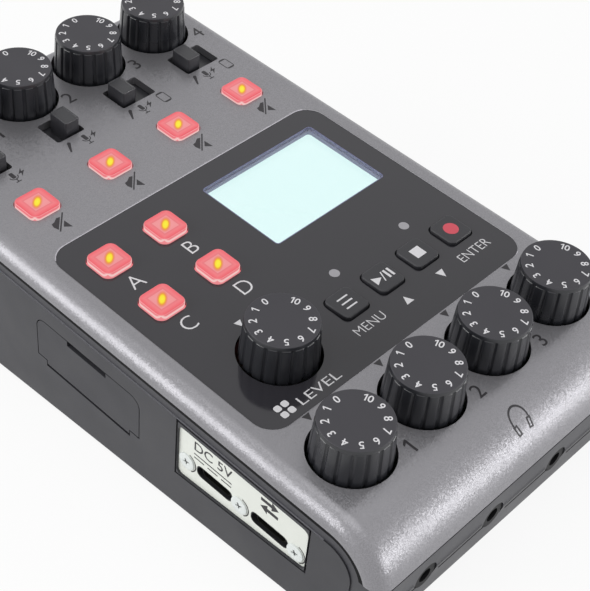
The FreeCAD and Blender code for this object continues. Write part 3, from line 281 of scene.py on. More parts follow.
BOARD_LACQUER = moulded_plastic("board_dark_lacquer", "#1d2b24", 0.35, grain=0.6, relief=0.01)
FOOT_RUBBER = moulded_plastic("foot_rubber", "#232326", 0.75, grain=0.35, relief=0.03, shine=0.3)
PLATE_PAINT = moulded_plastic("port_plate_white_enamel", "#d9dcd5", 0.4, grain=0.35, relief=0.006,
                              spread=0.03)
SCREW_ENAMEL = moulded_plastic("screw_white_enamel", "#d6dbd9", 0.32, grain=0.4, relief=0.004, spread=0.02)
BEZEL_PLASTIC = moulded_plastic("display_frame_grey_pc", "#6e6f92", 0.35, grain=0.25, relief=0.006)
print("plastics made, the last is", BEZEL_PLASTIC.name)

# %% [markdown]
# ## Metallic paint on the cover
#
# The top is ABS sprayed with a grey metallic paint. Tiny aluminium flakes lie in the lacquer at slightly
# different angles, so near a bright reflection the surface sparkles in specks, and elsewhere it is an even
# silver grey. Flakes are a few hundredths of a millimetre across. They are drawn as cells of a fifth of a
# millimetre, so that they show, each with a shade and a tilt of its own. The base is partly metallic, since
# lacquer and flakes reflect together. The lacquer's orange peel has waves of 1.1 mm, and the gloss varies
# from place to place over 17 mm.

# %% Silver paint
def flake_paint(name, colour, flake=0.2, metallic=0.6, roughness=0.37, lean=0.2):
    """Sprayed paint with flakes of this size in millimetres, which lean by up to a tenth either way."""
    material, where = new_material(name)
    flakes = add(material, "ShaderNodeTexVoronoi", {"Vector": where, "Scale": 1000 / flake})
    shade = add(material, "ShaderNodeSeparateColor", {"Color": flakes.outputs["Color"]}).outputs["Red"]
    low, high = shades(colour, 0.9, 1.1)
    tint = add(material, "ShaderNodeMixRGB", {"Fac": shade, "Color1": low, "Color2": high})
    centred = add(material, "ShaderNodeVectorMath", {0: flakes.outputs["Color"], 1: (0.5, 0.5, 0.5)},
                  operation="SUBTRACT")
    leaning = add(material, "ShaderNodeVectorMath", {0: centred.outputs["Vector"], "Scale": lean},
                  operation="SCALE")
    face = add(material, "ShaderNodeNewGeometry").outputs["Normal"]
    turned = add(material, "ShaderNodeVectorMath", {0: face, 1: leaning.outputs["Vector"]}, operation="ADD")
    turned = add(material, "ShaderNodeVectorMath", {0: turned.outputs["Vector"]}, operation="NORMALIZE")
    orange_peel = add(material, "ShaderNodeTexNoise", {"Vector": where, "Scale": 900, "Detail": 2.0})
    bump = add(material, "ShaderNodeBump", {"Height": orange_peel.outputs["Fac"], "Distance": 0.00001,
                                            "Strength": 0.6, "Normal": turned.outputs["Vector"]})
    cloud = add(material, "ShaderNodeTexNoise", {"Vector": where, "Scale": 60, "Detail": 2.0})
    gloss = add(material, "ShaderNodeMapRange", {
        "Value": cloud.outputs["Fac"], **NOISE_ENDS, "To Min": roughness - 0.04, "To Max": roughness + 0.04})
    shader = add(material, "ShaderNodeBsdfPrincipled", {
        "Base Color": tint.outputs["Color"], "Metallic": metallic, "Roughness": gloss.outputs["Result"],
        "Normal": bump.outputs["Normal"]})
    add(material, "ShaderNodeOutputMaterial", {"Surface": shader.outputs["BSDF"]})
    return material


SILVER_PAINT = flake_paint("cover_silver_paint", "#8a898d")
print("paint:", SILVER_PAINT.name)

# %% [markdown]
# ## The glossy panel
#
# The control panel is a flat plate of black-grey acrylic, printed and then hard-coated, so it mirrors the
# knob and the lit pads that stand on it. It is smooth, with only a very slight waviness of 8 mm, and the
# coat gets a faint haze of fine wiping marks, 0.4 mm apart, that breaks the mirror up a little. The pane over
# the display is the same acrylic left clear.

# %% Acrylic of the panel and the window
def hard_coated_acrylic(name, colour):
    """A printed plate with a glossy coat on it."""
    material, where = new_material(name)
    wave = add(material, "ShaderNodeTexNoise", {"Vector": where, "Scale": 120, "Detail": 1.0})
    haze = add(material, "ShaderNodeTexNoise", {"Vector": where, "Scale": 2500, "Detail": 4.0})
    gloss = add(material, "ShaderNodeMapRange", {
        "Value": haze.outputs["Fac"], **NOISE_ENDS, "To Min": 0.07, "To Max": 0.13})
    bump = add(material, "ShaderNodeBump", {
        "Height": wave.outputs["Fac"], "Distance": 0.00002, "Strength": 0.5})
    low, high = shades(colour, 0.93, 1.07)
    tint = add(material, "ShaderNodeMixRGB", {"Fac": haze.outputs["Fac"], "Color1": low, "Color2": high})
    shader = add(material, "ShaderNodeBsdfPrincipled", {
        "Base Color": tint.outputs["Color"], "Roughness": gloss.outputs["Result"], "IOR": 1.49,
        "Normal": bump.outputs["Normal"]})
    add(material, "ShaderNodeOutputMaterial", {"Surface": shader.outputs["BSDF"]})
    return material


PANEL_ACRYLIC = hard_coated_acrylic("panel_hard_coated_acrylic", "#2e2d32")


def clear_acrylic(name):
    """The pane over the display: almost nothing is seen of it but a faint gloss."""
    material, where = new_material(name)
    haze = add(material, "ShaderNodeTexNoise", {"Vector": where, "Scale": 700, "Detail": 2.0})
    gloss = add(material, "ShaderNodeMapRange", {
        "Value": haze.outputs["Fac"], "To Min": 0.01, "To Max": 0.05})
    shader = add(material, "ShaderNodeBsdfPrincipled", {
        "Base Color": (1, 1, 1, 1), "Roughness": gloss.outputs["Result"], "IOR": 1.49,
        "Transmission Weight": 1.0})
    add(material, "ShaderNodeOutputMaterial", {"Surface": shader.outputs["BSDF"]})
    return material


CLEAR_PANE = clear_acrylic("window_clear_acrylic")
print("acrylics:", PANEL_ACRYLIC.name, CLEAR_PANE.name)

# %% [markdown]
# ## Metal
#
# The socket shells and battery contacts are nickel-plated steel, pressed from sheet and tumbled, so they are
# bright with fine marks, 0.3 mm apart, that run every way. The same kind of bright metal is used for a
# painted highlight along the edge of the panel's recess. The shells of the two USB sockets are blackened, so
# that only the openings show in the white plate.

# %% Plated metal
def plated_metal(name, colour, roughness):
    """Bright metal whose gloss and tone are broken up by fine marks."""
    material, where = new_material(name)
    marks = add(material, "ShaderNodeTexNoise", {"Vector": where, "Scale": 3500, "Detail": 5.0})
    gloss = add(material, "ShaderNodeMapRange", {
        "Value": marks.outputs["Fac"], **NOISE_ENDS, "To Min": roughness - 0.08, "To Max": roughness + 0.08})
    bump = add(material, "ShaderNodeBump", {"Height": marks.outputs["Fac"], "Distance": 0.000008,
                                            "Strength": 0.6})
    low, high = shades(colour, 0.9, 1.05)
    tint = add(material, "ShaderNodeMixRGB", {"Fac": marks.outputs["Fac"], "Color1": low, "Color2": high})
    shader = add(material, "ShaderNodeBsdfPrincipled", {
        "Base Color": tint.outputs["Color"], "Metallic": 1.0, "Roughness": gloss.outputs["Result"],
        "Normal": bump.outputs["Normal"]})
    add(material, "ShaderNodeOutputMaterial", {"Surface": shader.outputs["BSDF"]})
    return material


NICKEL = plated_metal("socket_nickel_plate", "#b9b6ae", 0.3)
# A painted highlight: the bright line along the edge of the panel's recess.
RECESS_EDGE_HIGHLIGHT = plated_metal("recess_edge_painted_highlight", "#bfbcc3", 0.3)
USB_STEEL = plated_metal("usb_shell_blackened_steel", "#3a3a36", 0.5)
print("metals:", NICKEL.name, RECESS_EDGE_HIGHLIGHT.name, USB_STEEL.name)

# %% [markdown]
# ## Dressing the CAD nodes
#
# Where a plain solid already has the right shape, it stays and only gets a better material. This table
# says what each one is made of. The pieces that are modelled again further on are in it too, so that
# nothing is ever left in a flat colour.

# %% What each node is made of
MADE_OF = {
    "top_cover": SILVER_PAINT, "mid_frame": FRAME_PLASTIC, "lower_case": CASE_PLASTIC,
    "control_panel": PANEL_ACRYLIC, "screen_window": CLEAR_PANE, "display_module": BEZEL_PLASTIC,
    "port_plate": PLATE_PAINT, "main_board": BOARD_LACQUER, "io_board": BOARD_LACQUER,
    "phone_jack": BLACK_NYLON_AND_SHADE, "usb_power": USB_STEEL, "usb_data": USB_STEEL, "battery_contacts": NICKEL,
    "feet": FOOT_RUBBER, "card_door": DOOR_PLASTIC, "battery_cover": CASE_PLASTIC,
    "power_switch": CAP_PLASTIC, "xlr": BLACK_NYLON_AND_SHADE, "phones": JACK_NYLON, "pot": NICKEL,
    "knob": KNOB_SIDE_ABS, "switch": CAP_PLASTIC, "button": KEY_RUBBER, "mute": CAP_PLASTIC,
    "pad": CAP_PLASTIC,
}
for name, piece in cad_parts.items():
    finish = MADE_OF.get(name) or MADE_OF[name.split("_")[0]]
    wear(piece, *[finish] * max(1, len(piece.material_slots)))
print("dressed", len(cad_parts), "nodes")

# %% [markdown]
# ## Smooth copies of the housing
#
# A CAD node comes as loose triangles, so its rounded edges show facets. The real mouldings are smooth.
# Rebuilding the whole housing by hand would only repeat its shape, so a copy of each large piece is shaded
# smooth up to the angle of a real edge. Plain smooth shading would smear a curve's shade over the flat deck
# beside it, so each corner's normal is worked out here: every flat area that meets there counts by its
# size. First, the triangles that lie in one plane are found by walking from each to its neighbours.

# %% Flat areas
def flat_areas(shape):
    """Group a mesh's faces into flat areas: for each face, the area's normal times its size."""
    found = {}
    for start in shape.faces:
        if start in found or start.normal.length < 0.5:
            continue
        members, waiting = [], [start]
        found[start] = None
        while waiting:
            face = waiting.pop()
            members.append(face)
            for edge in face.edges:
                for other in edge.link_faces:
                    if other not in found and other.normal.angle(start.normal, 9) < 0.003:
                        found[other] = None
                        waiting.append(other)
        whole = start.normal * sum(face.calc_area() for face in members)
        for face in members:
            found[face] = whole
    return found


# %% [markdown]
# Then the copy's loose triangles are sewn together and each corner gets its normal. Only the areas that
# lean by less than a real edge count for it. The copy stands for the node.

# %% Sew and smooth
REAL_EDGE = math.radians(32)


def smooth_copy(node):
    """A copy of a CAD node in its place, sewn together, with a normal worked out for each corner."""
    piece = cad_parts[node].copy()
    piece.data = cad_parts[node].data.copy()
    piece.name = node + "_skin"
    piece.parent = None
    bpy.context.collection.objects.link(piece)
    piece.hide_render = piece.hide_viewport = False
    alone(piece)
    bpy.ops.object.mode_set(mode="EDIT")
    bpy.ops.mesh.select_all(action="SELECT")
    bpy.ops.mesh.remove_doubles(threshold=0.000002)
    bpy.ops.object.mode_set(mode="OBJECT")
    bpy.ops.object.shade_smooth()
    shape = bmesh.new()
    shape.from_mesh(piece.data)
    areas = flat_areas(shape)
    normals = []
    for face in shape.faces:
        for corner in face.loops:
            near = {tuple(areas[f]) for f in corner.vert.link_faces
                    if f in areas and f.normal.angle(face.normal, 9) < REAL_EDGE}
            total = sum((Vector(area) for area in near), Vector())
            normals.append(total.normalized() if total.length else face.normal.copy())
    shape.free()
    piece.data.normals_split_custom_set(normals)
    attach(piece, "housing")
    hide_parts(node)
    return piece


for node in ("top_cover", "mid_frame", "lower_case", "port_plate"):
    skin = smooth_copy(node)
    print(skin.name, len(skin.data.polygons), "faces")

# %% [markdown]
# ## Fluted knobs
#
# A knob is a short, slightly tapered ABS cup. Eighteen wide panels stand out of its side by a sixth of a
# millimetre, with a narrow groove for the fingers between each pair, and their upper ends catch the light
# just below a plain rim. It could be lathed and cut with eighteen cutters, but a Boolean leaves a poor mesh.
# So a circle with twelve points for each panel will be extruded upwards ring by ring, and then the points
# of every groove pulled towards the axis together.

# %% The knob's measures and rings
KNOB_BASE, KNOB_TOP, KNOB_HEIGHT, KNOB_BELOW = 9.15, 8.35, 10.0, 1.0
PANELS, PANEL_STEPS = 18, 12
GROOVE = {0: 0.42, 1: 0.34, 2: 0.06}
PANEL_OUT = 0.16
PANEL_TOP = KNOB_HEIGHT - 0.95
SHAFT_RADIUS, SHAFT_LENGTH = 3.0, 8.2


def knob_radius(z):
    """The tapered side's radius at a height above the deck."""
    return KNOB_BASE - (KNOB_BASE - KNOB_TOP) * (z + KNOB_BELOW) / (KNOB_HEIGHT + KNOB_BELOW - 0.5)


def extrude_rings(rings, radius, z):
    """Extrude the selected round face through rings, each a height and a radius."""
    for next_z, next_radius in rings:
        bpy.ops.mesh.extrude_region_move(TRANSFORM_OT_translate={"value": (0, 0, next_z - z)})
        factor = next_radius / radius
        bpy.ops.transform.resize(value=(factor, factor, 1), center_override=(0, 0, next_z))
        radius, z = next_radius, next_z


def from_groove(vert):
    """How many points round the knob a vertex is from the middle of its groove."""
    step = round(math.atan2(vert.co.y, vert.co.x) * PANELS * PANEL_STEPS / math.tau) % PANEL_STEPS
    return min(step, PANEL_STEPS - step)


# %% [markdown]
# The knob is made once. After its rings and grooves, its open lower end is inset and the shaft extruded
# downwards. The top is a mattish disc and the side is satin, so the faces near the top get their own
# material.

# %% One knob
bpy.ops.object.select_all(action="DESELECT")
bpy.ops.mesh.primitive_circle_add(vertices=PANELS * PANEL_STEPS, radius=KNOB_BASE, fill_type="NGON",
                                  location=(0, 0, -KNOB_BELOW))
knob = bpy.context.object
bpy.ops.object.transform_apply(location=True)
bpy.ops.object.mode_set(mode="EDIT")
extrude_rings([(PANEL_TOP - 0.2, knob_radius(PANEL_TOP) + PANEL_OUT),
               (PANEL_TOP - 0.05, knob_radius(PANEL_TOP) + 0.03),
               (KNOB_HEIGHT - 0.3, KNOB_TOP), (KNOB_HEIGHT - 0.12, KNOB_TOP - 0.05),
               (KNOB_HEIGHT - 0.03, KNOB_TOP - 0.16), (KNOB_HEIGHT, KNOB_TOP - 0.32),
               (KNOB_HEIGHT - 0.04, 7.4), (KNOB_HEIGHT - 0.08, 4.5), (KNOB_HEIGHT - 0.1, 1.5)],
              KNOB_BASE, -KNOB_BELOW)
for step, depth in GROOVE.items():
    pick(knob, "verts", lambda v: v.co.z < PANEL_TOP - 0.1 and v.co.xy.length > 5 and from_groove(v) == step)
    bpy.ops.transform.resize(value=[1 - depth / KNOB_BASE] * 2 + [1], center_override=(0, 0, 0))
pick(knob, "faces", lambda f: f.calc_center_median().z < -KNOB_BELOW + 0.001)
bpy.ops.mesh.inset(thickness=KNOB_BASE - SHAFT_RADIUS, depth=0)
bpy.ops.mesh.extrude_region_move(TRANSFORM_OT_translate={"value": (0, 0, -SHAFT_LENGTH)})
bpy.ops.mesh.select_all(action="SELECT")
bpy.ops.mesh.normals_make_consistent(inside=False)
bpy.ops.object.mode_set(mode="OBJECT")
wear(knob, KNOB_SIDE_ABS, KNOB_TOP_ABS)
for face in knob.data.polygons:
    face.material_index = int(face.center.z > KNOB_HEIGHT - 0.2)
bpy.ops.object.shade_smooth_by_angle(angle=math.radians(28))
print("knob:", len(knob.data.polygons), "faces")

# %% [markdown]
# ## Flat symbols
#
# Arrows, bars and other signs are drawn as flat curves from their corner points and filled, in the way a
# printing plate would be cut. Ink stands a few hundredths of a millimetre high, so a filled shape gets that
# thickness and lies just in the surface, and never flickers with it.

# %% Filled shapes
INK = 0.03


def thicken(print_):
    """Give a flat print the thickness of its ink, upwards from just under the surface."""
    finish_modifier(print_, "SOLIDIFY", thickness=INK, offset=0)
    bpy.ops.object.shade_flat()
    return print_


def cut_out(outlines, holes=False):
    """Closed outlines filled as one flat mesh. With holes, an outline inside another is cut away."""
    if not holes:
        return join([cut_out([points], True) for points in outlines], "shape")
    curve = bpy.data.curves.new("outline", "CURVE")
    curve.dimensions = "2D"
    curve.fill_mode = "FRONT"
    for points in outlines:
        spline = curve.splines.new("POLY")
        spline.points.add(len(points) - 1)
        for point, (x, y) in zip(spline.points, points):
            point.co = (x, y, 0, 1)
        spline.use_cyclic_u = True
    shape = bpy.data.objects.new("outline", curve)
    bpy.context.collection.objects.link(shape)
    alone(shape)
    bpy.ops.object.convert(target="MESH")
    return thicken(bpy.context.object)


# %% [markdown]
# Signs repeat a few simple outlines: an oblong, a straight stroke, a bow and a disc. Each is a list of
# corner points in millimetres, which can be moved and mixed before they are filled.

# %% Outlines
def oblong(x, y, width, height):
    """An upright oblong about its middle, as an outline."""
    w, h = width / 2, height / 2
    return [(x - w, y - h), (x + w, y - h), (x + w, y + h), (x - w, y + h)]


def stroke(start, end, width):
    """A straight line of some width as an outline."""
    along = (Vector(end) - Vector(start)).normalized()
    side = Vector((-along.y, along.x)) * width / 2
    return [tuple(Vector(p) + s * side) for p, s in ((start, -1), (end, -1), (end, 1), (start, 1))]


def bow(x, y, radius, width, start, end, squash=1.0, steps=24):
    """Part of a ring, between two angles in degrees, as an outline."""
    turns = [math.radians(start + (end - start) * i / steps) for i in range(steps + 1)]
    outer, inner = [[(x + r * math.cos(t), y + r * squash * math.sin(t)) for t in turns]
                    for r in (radius + width / 2, radius - width / 2)]
    return outer + inner[::-1]


def disc(x, y, radius):
    """A circle as an outline of 32 points."""
    return [(x + radius * math.cos(math.tau * i / 32), y + radius * math.sin(math.tau * i / 32))
            for i in range(32)]


# %% [markdown]
# ## Numbers on a dial
#
# White figures 0 to 10 are pad-printed round each knob's top, with their heads outwards, 30 degrees apart.
# Pad-printing ink dries as a thin matt film, white on the knobs and the panel and dark on the silver deck.

# %% Inks
def ink_finish(name, colour):
    """Printing ink: a thin matt film whose tone is slightly uneven."""
    return moulded_plastic(name, colour, 0.5, grain=0.12, relief=0.004, spread=0.05, shine=0.4)


WHITE_INK = ink_finish("white_pad_print", "#dddcdf")
# The dark ink is also used for painted shade at the port plate's screws.
DARK_INK_AND_SHADE = ink_finish("dark_grey_print_and_painted_shade", "#242226")
GREY_INK = ink_finish("grey_pad_print", "#a3a1a6")
RED_INK = ink_finish("red_pad_print", "#d0505e")


# %% [markdown]
# Each word is a text curve with a very small extrusion, made a mesh, scaled to its real height and width,
# and as thick as the ink. The figure one has no foot in print, so it is drawn by its corners instead.

# %% Lettering
def lettering(words, height, width=None, weight=0.0):
    """Words as a thin mesh about the origin, reading along x, with capitals of this height."""
    bpy.ops.object.select_all(action="DESELECT")
    bpy.ops.object.text_add(location=(0, 0, 0))
    text = bpy.context.object
    text.data.body = words
    text.data.offset = min(weight, 0)
    text.data.bevel_depth = max(weight, 0)
    text.data.bevel_resolution = 0
    text.data.extrude = 0.01
    text.data.resolution_u = 4
    bpy.ops.object.convert(target="MESH")
    text = bpy.context.object
    low, high = [Vector([end(v.co[i] for v in text.data.vertices) for i in range(3)]) for end in (min, max)]
    tall = height / (high.y - low.y)
    wide = width / (high.x - low.x) if width else tall
    size = Matrix.Diagonal((wide, tall, INK / (high.z - low.z), 1))
    text.data.transform(size @ Matrix.Translation(-(low + high) / 2))
    bpy.ops.object.shade_flat()
    return text


FIGURE_ONE = [(0.04, -0.5), (0.2, -0.5), (0.2, 0.5), (0.08, 0.5), (-0.2, 0.3), (-0.2, 0.14), (0.04, 0.29)]


def numeral(number, height, weight=0.012):
    """A whole number as print. The figure one is drawn from its listed corners, with a flag and no foot."""
    marks = []
    for i, digit in enumerate(str(number)):
        if digit == "1":
            mark = cut_out([[(x * height, y * height) for x, y in FIGURE_ONE]])
        else:
            mark = lettering(digit, height, weight=weight)
        shift = (i - (len(str(number)) - 1) / 2) * 0.66 * height
        marks.append(moved(mark, shift, 0))
    return join(marks, "numeral")


# %% [markdown]
# The dial turns with its knob, so it is a piece of its own that rides on the same body. Knob and dial are
# made once and copied to nine places.

# %% Dials and the nine knobs
DIAL_RADIUS, ZERO_AT, FIGURE_STEP = 6.55, 81, 30
figures = []
for number in range(11):
    angle = math.radians(ZERO_AT + FIGURE_STEP * number)
    figures.append(moved(numeral(number, 1.9), DIAL_RADIUS * math.cos(angle), DIAL_RADIUS * math.sin(angle),
                         KNOB_HEIGHT - 0.05 + INK / 4, angle - math.pi / 2))
dial = wear(join(figures, "dial"), WHITE_INK)
KNOB_PLACES = {f"knob_{row}_{i}": (x, y) for row, y in (("phones", PHONES_ROW), ("gain", GAIN_ROW))
               for i, x in enumerate(COLUMNS, start=1)}
KNOB_PLACES["knob_pads"] = (-25.2, 53.8)
for name, (x, y) in KNOB_PLACES.items():
    settle(another(knob, name + "_fluted", x, y), name, [name])
    settle(another(dial, name + "_figures", x, y), name)
put_away(knob)
put_away(dial)
print("knobs:", len(KNOB_PLACES))

# %% [markdown]
# ## Lit rubber buttons
#
# The mute buttons and the four pads are caps of clear pink silicone with a lamp under each. The lamp shows
# as a yellow spot inside a cap that glows pink all over. A paler square is the lamp's well, seen through the
# cap, and the rim is palest, since it gathers the light. Real scattering inside the rubber would be slow and
# noisy to render, so the glow is painted in square rings about the middle, in the cap's own flat map in
# millimetres, as a little of its own light on top of a glossy surface. A faint unevenness of 2 mm keeps that
# surface from looking like glass.

# %% Glowing silicone
def ramp(material, value, stops):
    """Colours blended along a value, from places and hex colours."""
    made = add(material, "ShaderNodeValToRGB", {"Fac": value})
    elements = made.color_ramp.elements
    while len(elements) < len(stops):
        elements.new(0.5)
    for element, (place, colour) in zip(elements, stops):
        element.position = place
        element.color = linear(colour)
    return made.outputs["Color"]


CAP_LIGHT = 0.86
CAP_HALF = 4.4


def glowing_silicone(name, rings, spot=True):
    """Silicone that glows by its square rings about the cap's middle, with the lamp's spot in it."""
    material, where = new_material(name)
    cloud = add(material, "ShaderNodeTexNoise", {"Vector": where, "Scale": 520, "Detail": 2.0})
    flat = add(material, "ShaderNodeUVMap", uv_map="cap").outputs["UV"]
    across = add(material, "ShaderNodeVectorMath", {0: flat}, operation="ABSOLUTE")
    across = add(material, "ShaderNodeSeparateXYZ", {"Vector": across.outputs["Vector"]})
    square = add(material, "ShaderNodeMath", {0: across.outputs["X"], 1: across.outputs["Y"]},
                 operation="MAXIMUM")
    square = add(material, "ShaderNodeMapRange", {"Value": square.outputs["Value"], "From Max": CAP_HALF})
    glow = ramp(material, square.outputs["Result"], rings)
    if spot:
        bent = add(material, "ShaderNodeMapping", {"Vector": flat, "Rotation": (0, 0, math.radians(-43))})
        oval = add(material, "ShaderNodeMapping", {
            "Vector": bent.outputs["Vector"], "Scale": (0.36, 0.75, 1)})
        away = add(material, "ShaderNodeVectorMath", {0: oval.outputs["Vector"]}, operation="LENGTH")
        lamp = ramp(material, away.outputs["Value"], [
            (0.0, "#fff92a"), (0.4, "#ffee12"), (0.62, "#f0a020"), (0.8, "#e8802a")])
        inside = add(material, "ShaderNodeMapRange", {
            "Value": away.outputs["Value"], "From Min": 0.62, "From Max": 1.0})
        glow = add(material, "ShaderNodeMixRGB", {
            "Fac": inside.outputs["Result"], "Color1": lamp, "Color2": glow}).outputs["Color"]
    tint = add(material, "ShaderNodeMixRGB", {
        "Fac": cloud.outputs["Fac"], "Color1": linear("#3a1014"), "Color2": linear("#521a1e")})
    bump = add(material, "ShaderNodeBump", {
        "Height": cloud.outputs["Fac"], "Distance": 0.00002, "Strength": 0.8})
    gloss = add(material, "ShaderNodeMapRange", {
        "Value": cloud.outputs["Fac"], "To Min": 0.14, "To Max": 0.26})
    shader = add(material, "ShaderNodeBsdfPrincipled", {
        "Base Color": tint.outputs["Color"], "Roughness": gloss.outputs["Result"], "IOR": 1.41,
        "Normal": bump.outputs["Normal"], "Emission Color": glow, "Emission Strength": CAP_LIGHT})
    add(material, "ShaderNodeOutputMaterial", {"Surface": shader.outputs["BSDF"]})
    return material


# %% [markdown]
# The face, the sloping rim and the wall of a cap glow differently, so each has its own rings: a place from
# the middle, 0, to the edge, 1, and the colour there. Only the face shows the lamp's spot. The pale band in
# the wall's rings is a painted highlight, where the rim catches the light.

# %% The glow of a cap
CAP_GLOW = glowing_silicone("cap_lit_pink_silicone", [
    (0.0, "#f6a2a2"), (0.5, "#f4989a"), (0.53, "#ea7a80"), (0.66, "#f67f85"), (0.88, "#f2666f"),
    (0.97, "#dc4652")])
CAP_RIM = glowing_silicone("cap_rim_pink_silicone", [(0.0, "#f08a8e"), (1.0, "#f48e92")], spot=False)
# The band from 0.8 to 0.86 is a painted highlight.
CAP_WALL_GLOW_AND_HIGHLIGHT = glowing_silicone("cap_wall_glow_and_painted_highlight", [
    (0.0, "#f5868c"), (0.76, "#f7959a"), (0.8, "#ffdcd8"), (0.86, "#fcc0be"), (0.89, "#f07a82"),
    (1.0, "#f27a82")], spot=False)
print("silicones:", CAP_GLOW.name, CAP_RIM.name, CAP_WALL_GLOW_AND_HIGHLIGHT.name)

# %% [markdown]
# A button starts as a square plate, whose corners are rounded with a vertex bevel. It is extruded upwards
# into the lip that holds the button in, inset, and extruded again into the cap, and last the rim of the
# cap is bevelled. The same steps make a lit cap and a transport key.

# %% A button from a plate
LIP, LIP_HEIGHT = 0.9, 0.8


def button_blank(size, corner, top, under, rim):
    """A cap of this size whose face is at height top, on a lip that ends at height under."""
    bpy.ops.object.select_all(action="DESELECT")
    bpy.ops.mesh.primitive_plane_add(size=size + 2 * LIP, location=(0, 0, under - LIP_HEIGHT))
    button = bpy.context.object
    bpy.ops.object.transform_apply(location=True)
    bpy.ops.object.mode_set(mode="EDIT")
    bpy.ops.mesh.select_all(action="SELECT")
    bpy.ops.mesh.bevel(affect="VERTICES", offset=corner + LIP, segments=8)
    bpy.ops.mesh.extrude_region_move(TRANSFORM_OT_translate={"value": (0, 0, LIP_HEIGHT)})
    bpy.ops.mesh.inset(thickness=LIP, depth=0)
    bpy.ops.mesh.extrude_region_move(TRANSFORM_OT_translate={"value": (0, 0, top - under)})
    pick(button, "edges", lambda e: all(abs(v.co.z - top) < 1e-4 for v in e.verts))
    bpy.ops.mesh.bevel(offset=rim, segments=3, profile=0.5)
    pick(button, "faces", lambda f: f.normal.z > 0.99 and abs(f.calc_center_median().z - top) < 1e-3)
    bpy.ops.mesh.inset(thickness=0.25, depth=0)
    bpy.ops.mesh.select_all(action="SELECT")
    bpy.ops.mesh.normals_make_consistent(inside=False)
    bpy.ops.object.mode_set(mode="OBJECT")
    alone(button)
    bpy.ops.object.shade_smooth_by_angle(angle=math.radians(35))
    return button


# %% [markdown]
# The glow is painted by a flat map, so the cap needs one. Its faces are then given the face's, the rim's or
# the wall's glow by how far they slope. One cap serves the four mute buttons, and another the four pads.

# %% Lit caps
def flat_map(piece, top):
    """A map in millimetres from the middle of the cap, drawn in a little as the wall goes down."""
    layer = piece.data.uv_layers.new(name="cap")
    for loop in piece.data.loops:
        place = piece.data.vertices[loop.vertex_index].co
        layer.data[loop.index].uv = place.xy * (1 + 0.13 * min(0, place.z - top))
    return piece


def lit_cap(size, top, under):
    """A cap with its glow: the face, the sloping rim and the wall each have their own rings."""
    cap = flat_map(button_blank(size, 1.8, top, under, rim=0.35), top)
    wear(cap, CAP_GLOW, CAP_RIM, CAP_WALL_GLOW_AND_HIGHLIGHT)
    for face in cap.data.polygons:
        face.material_index = 0 if face.normal.z > 0.93 else 1 if face.normal.z > 0.35 else 2
    return cap


mute = lit_cap(size=8.6, top=0.95, under=-2.4)
for i, x in enumerate(COLUMNS, start=1):
    settle(another(mute, f"mute_{i}_cap", x, MUTE_ROW), f"mute_{i}", [f"mute_{i}"])
put_away(mute)
pad = lit_cap(size=8.3, top=1.15, under=PANEL - 1.4)
PAD_PLACES = {"a": (-34.2, 99.7), "b": (-16.85, 99.7), "c": (-34.2, 81.9), "d": (-16.85, 81.9)}
for letter, (x, y) in PAD_PLACES.items():
    settle(another(pad, f"pad_{letter}_cap", x, y), f"pad_{letter}", [f"pad_{letter}"])
put_away(pad)
print("lit buttons:", len(COLUMNS) + len(PAD_PLACES))

# %% [markdown]
# ## Transport keys
#
# Four keys of dark matt rubber stand a little way out of the panel in tight square holes. Each carries one
# white or red sign: a list, play and pause, stop, and record. The sign rides on its key.

# %% Keys and their signs
KEY_ROW = 53.9
KEYS = {"menu": -3.15, "play": 9.3, "stop": 21.75, "record": 34.2}
KEY_FACE = PANEL + 0.9
KEY_SIGNS = {
    "menu": ([oblong(0, i * 1.55, 3.4, 0.42) for i in (-1, 0, 1)], WHITE_INK),
    "play": ([[(-3.0, -1.3), (-3.0, 1.3), (-0.55, 0)], stroke((-0.55, -1.4), (0.55, 1.4), 0.3),
              oblong(1.35, 0, 0.65, 2.7), oblong(2.6, 0, 0.65, 2.7)], WHITE_INK),
    "stop": ([oblong(0, 0, 3.1, 3.1)], WHITE_INK),
    "record": ([disc(0, 0, 1.95)], RED_INK),
}
key = button_blank(size=7.9, corner=1.4, top=KEY_FACE, under=PANEL - 1.4, rim=0.4)
wear(key, KEY_RUBBER)
for name, x in KEYS.items():
    node = "button_" + name
    settle(another(key, node + "_key", x, KEY_ROW), node, [node])
    shapes, ink = KEY_SIGNS[name]
    sign = moved(cut_out(shapes), x, KEY_ROW, KEY_FACE + INK / 4)
    sign.name = node + "_sign"
    settle(wear(sign, ink), node)
put_away(key)
print("keys:", len(KEYS))

# %% [markdown]
# ## Slide switch caps
#
# Each input switch ends in a small black cap, standing at one end of its slot. It is a box whose upright
# edges and rim are bevelled, with a shallow thumb hollow inset in its face. Under the deck a thin plate
# slides with it and closes the slot, and a short lever reaches the switch.

# %% Switch caps
CAP_SIZE = (4.5, 6.5, 6.0)
CAP_FACE = 3.6
STEP = 2.5


def box_piece(x, y, z, width, depth, height):
    """A block with softened edges, to be joined to a larger piece."""
    bpy.ops.object.select_all(action="DESELECT")
    bpy.ops.mesh.primitive_cube_add(size=1, location=(x, y, z))
    block = bpy.context.object
    block.scale = (width, depth, height)
    bpy.ops.object.transform_apply(location=True, scale=True)
    finish_modifier(block, "BEVEL", width=0.12, segments=2)
    return block


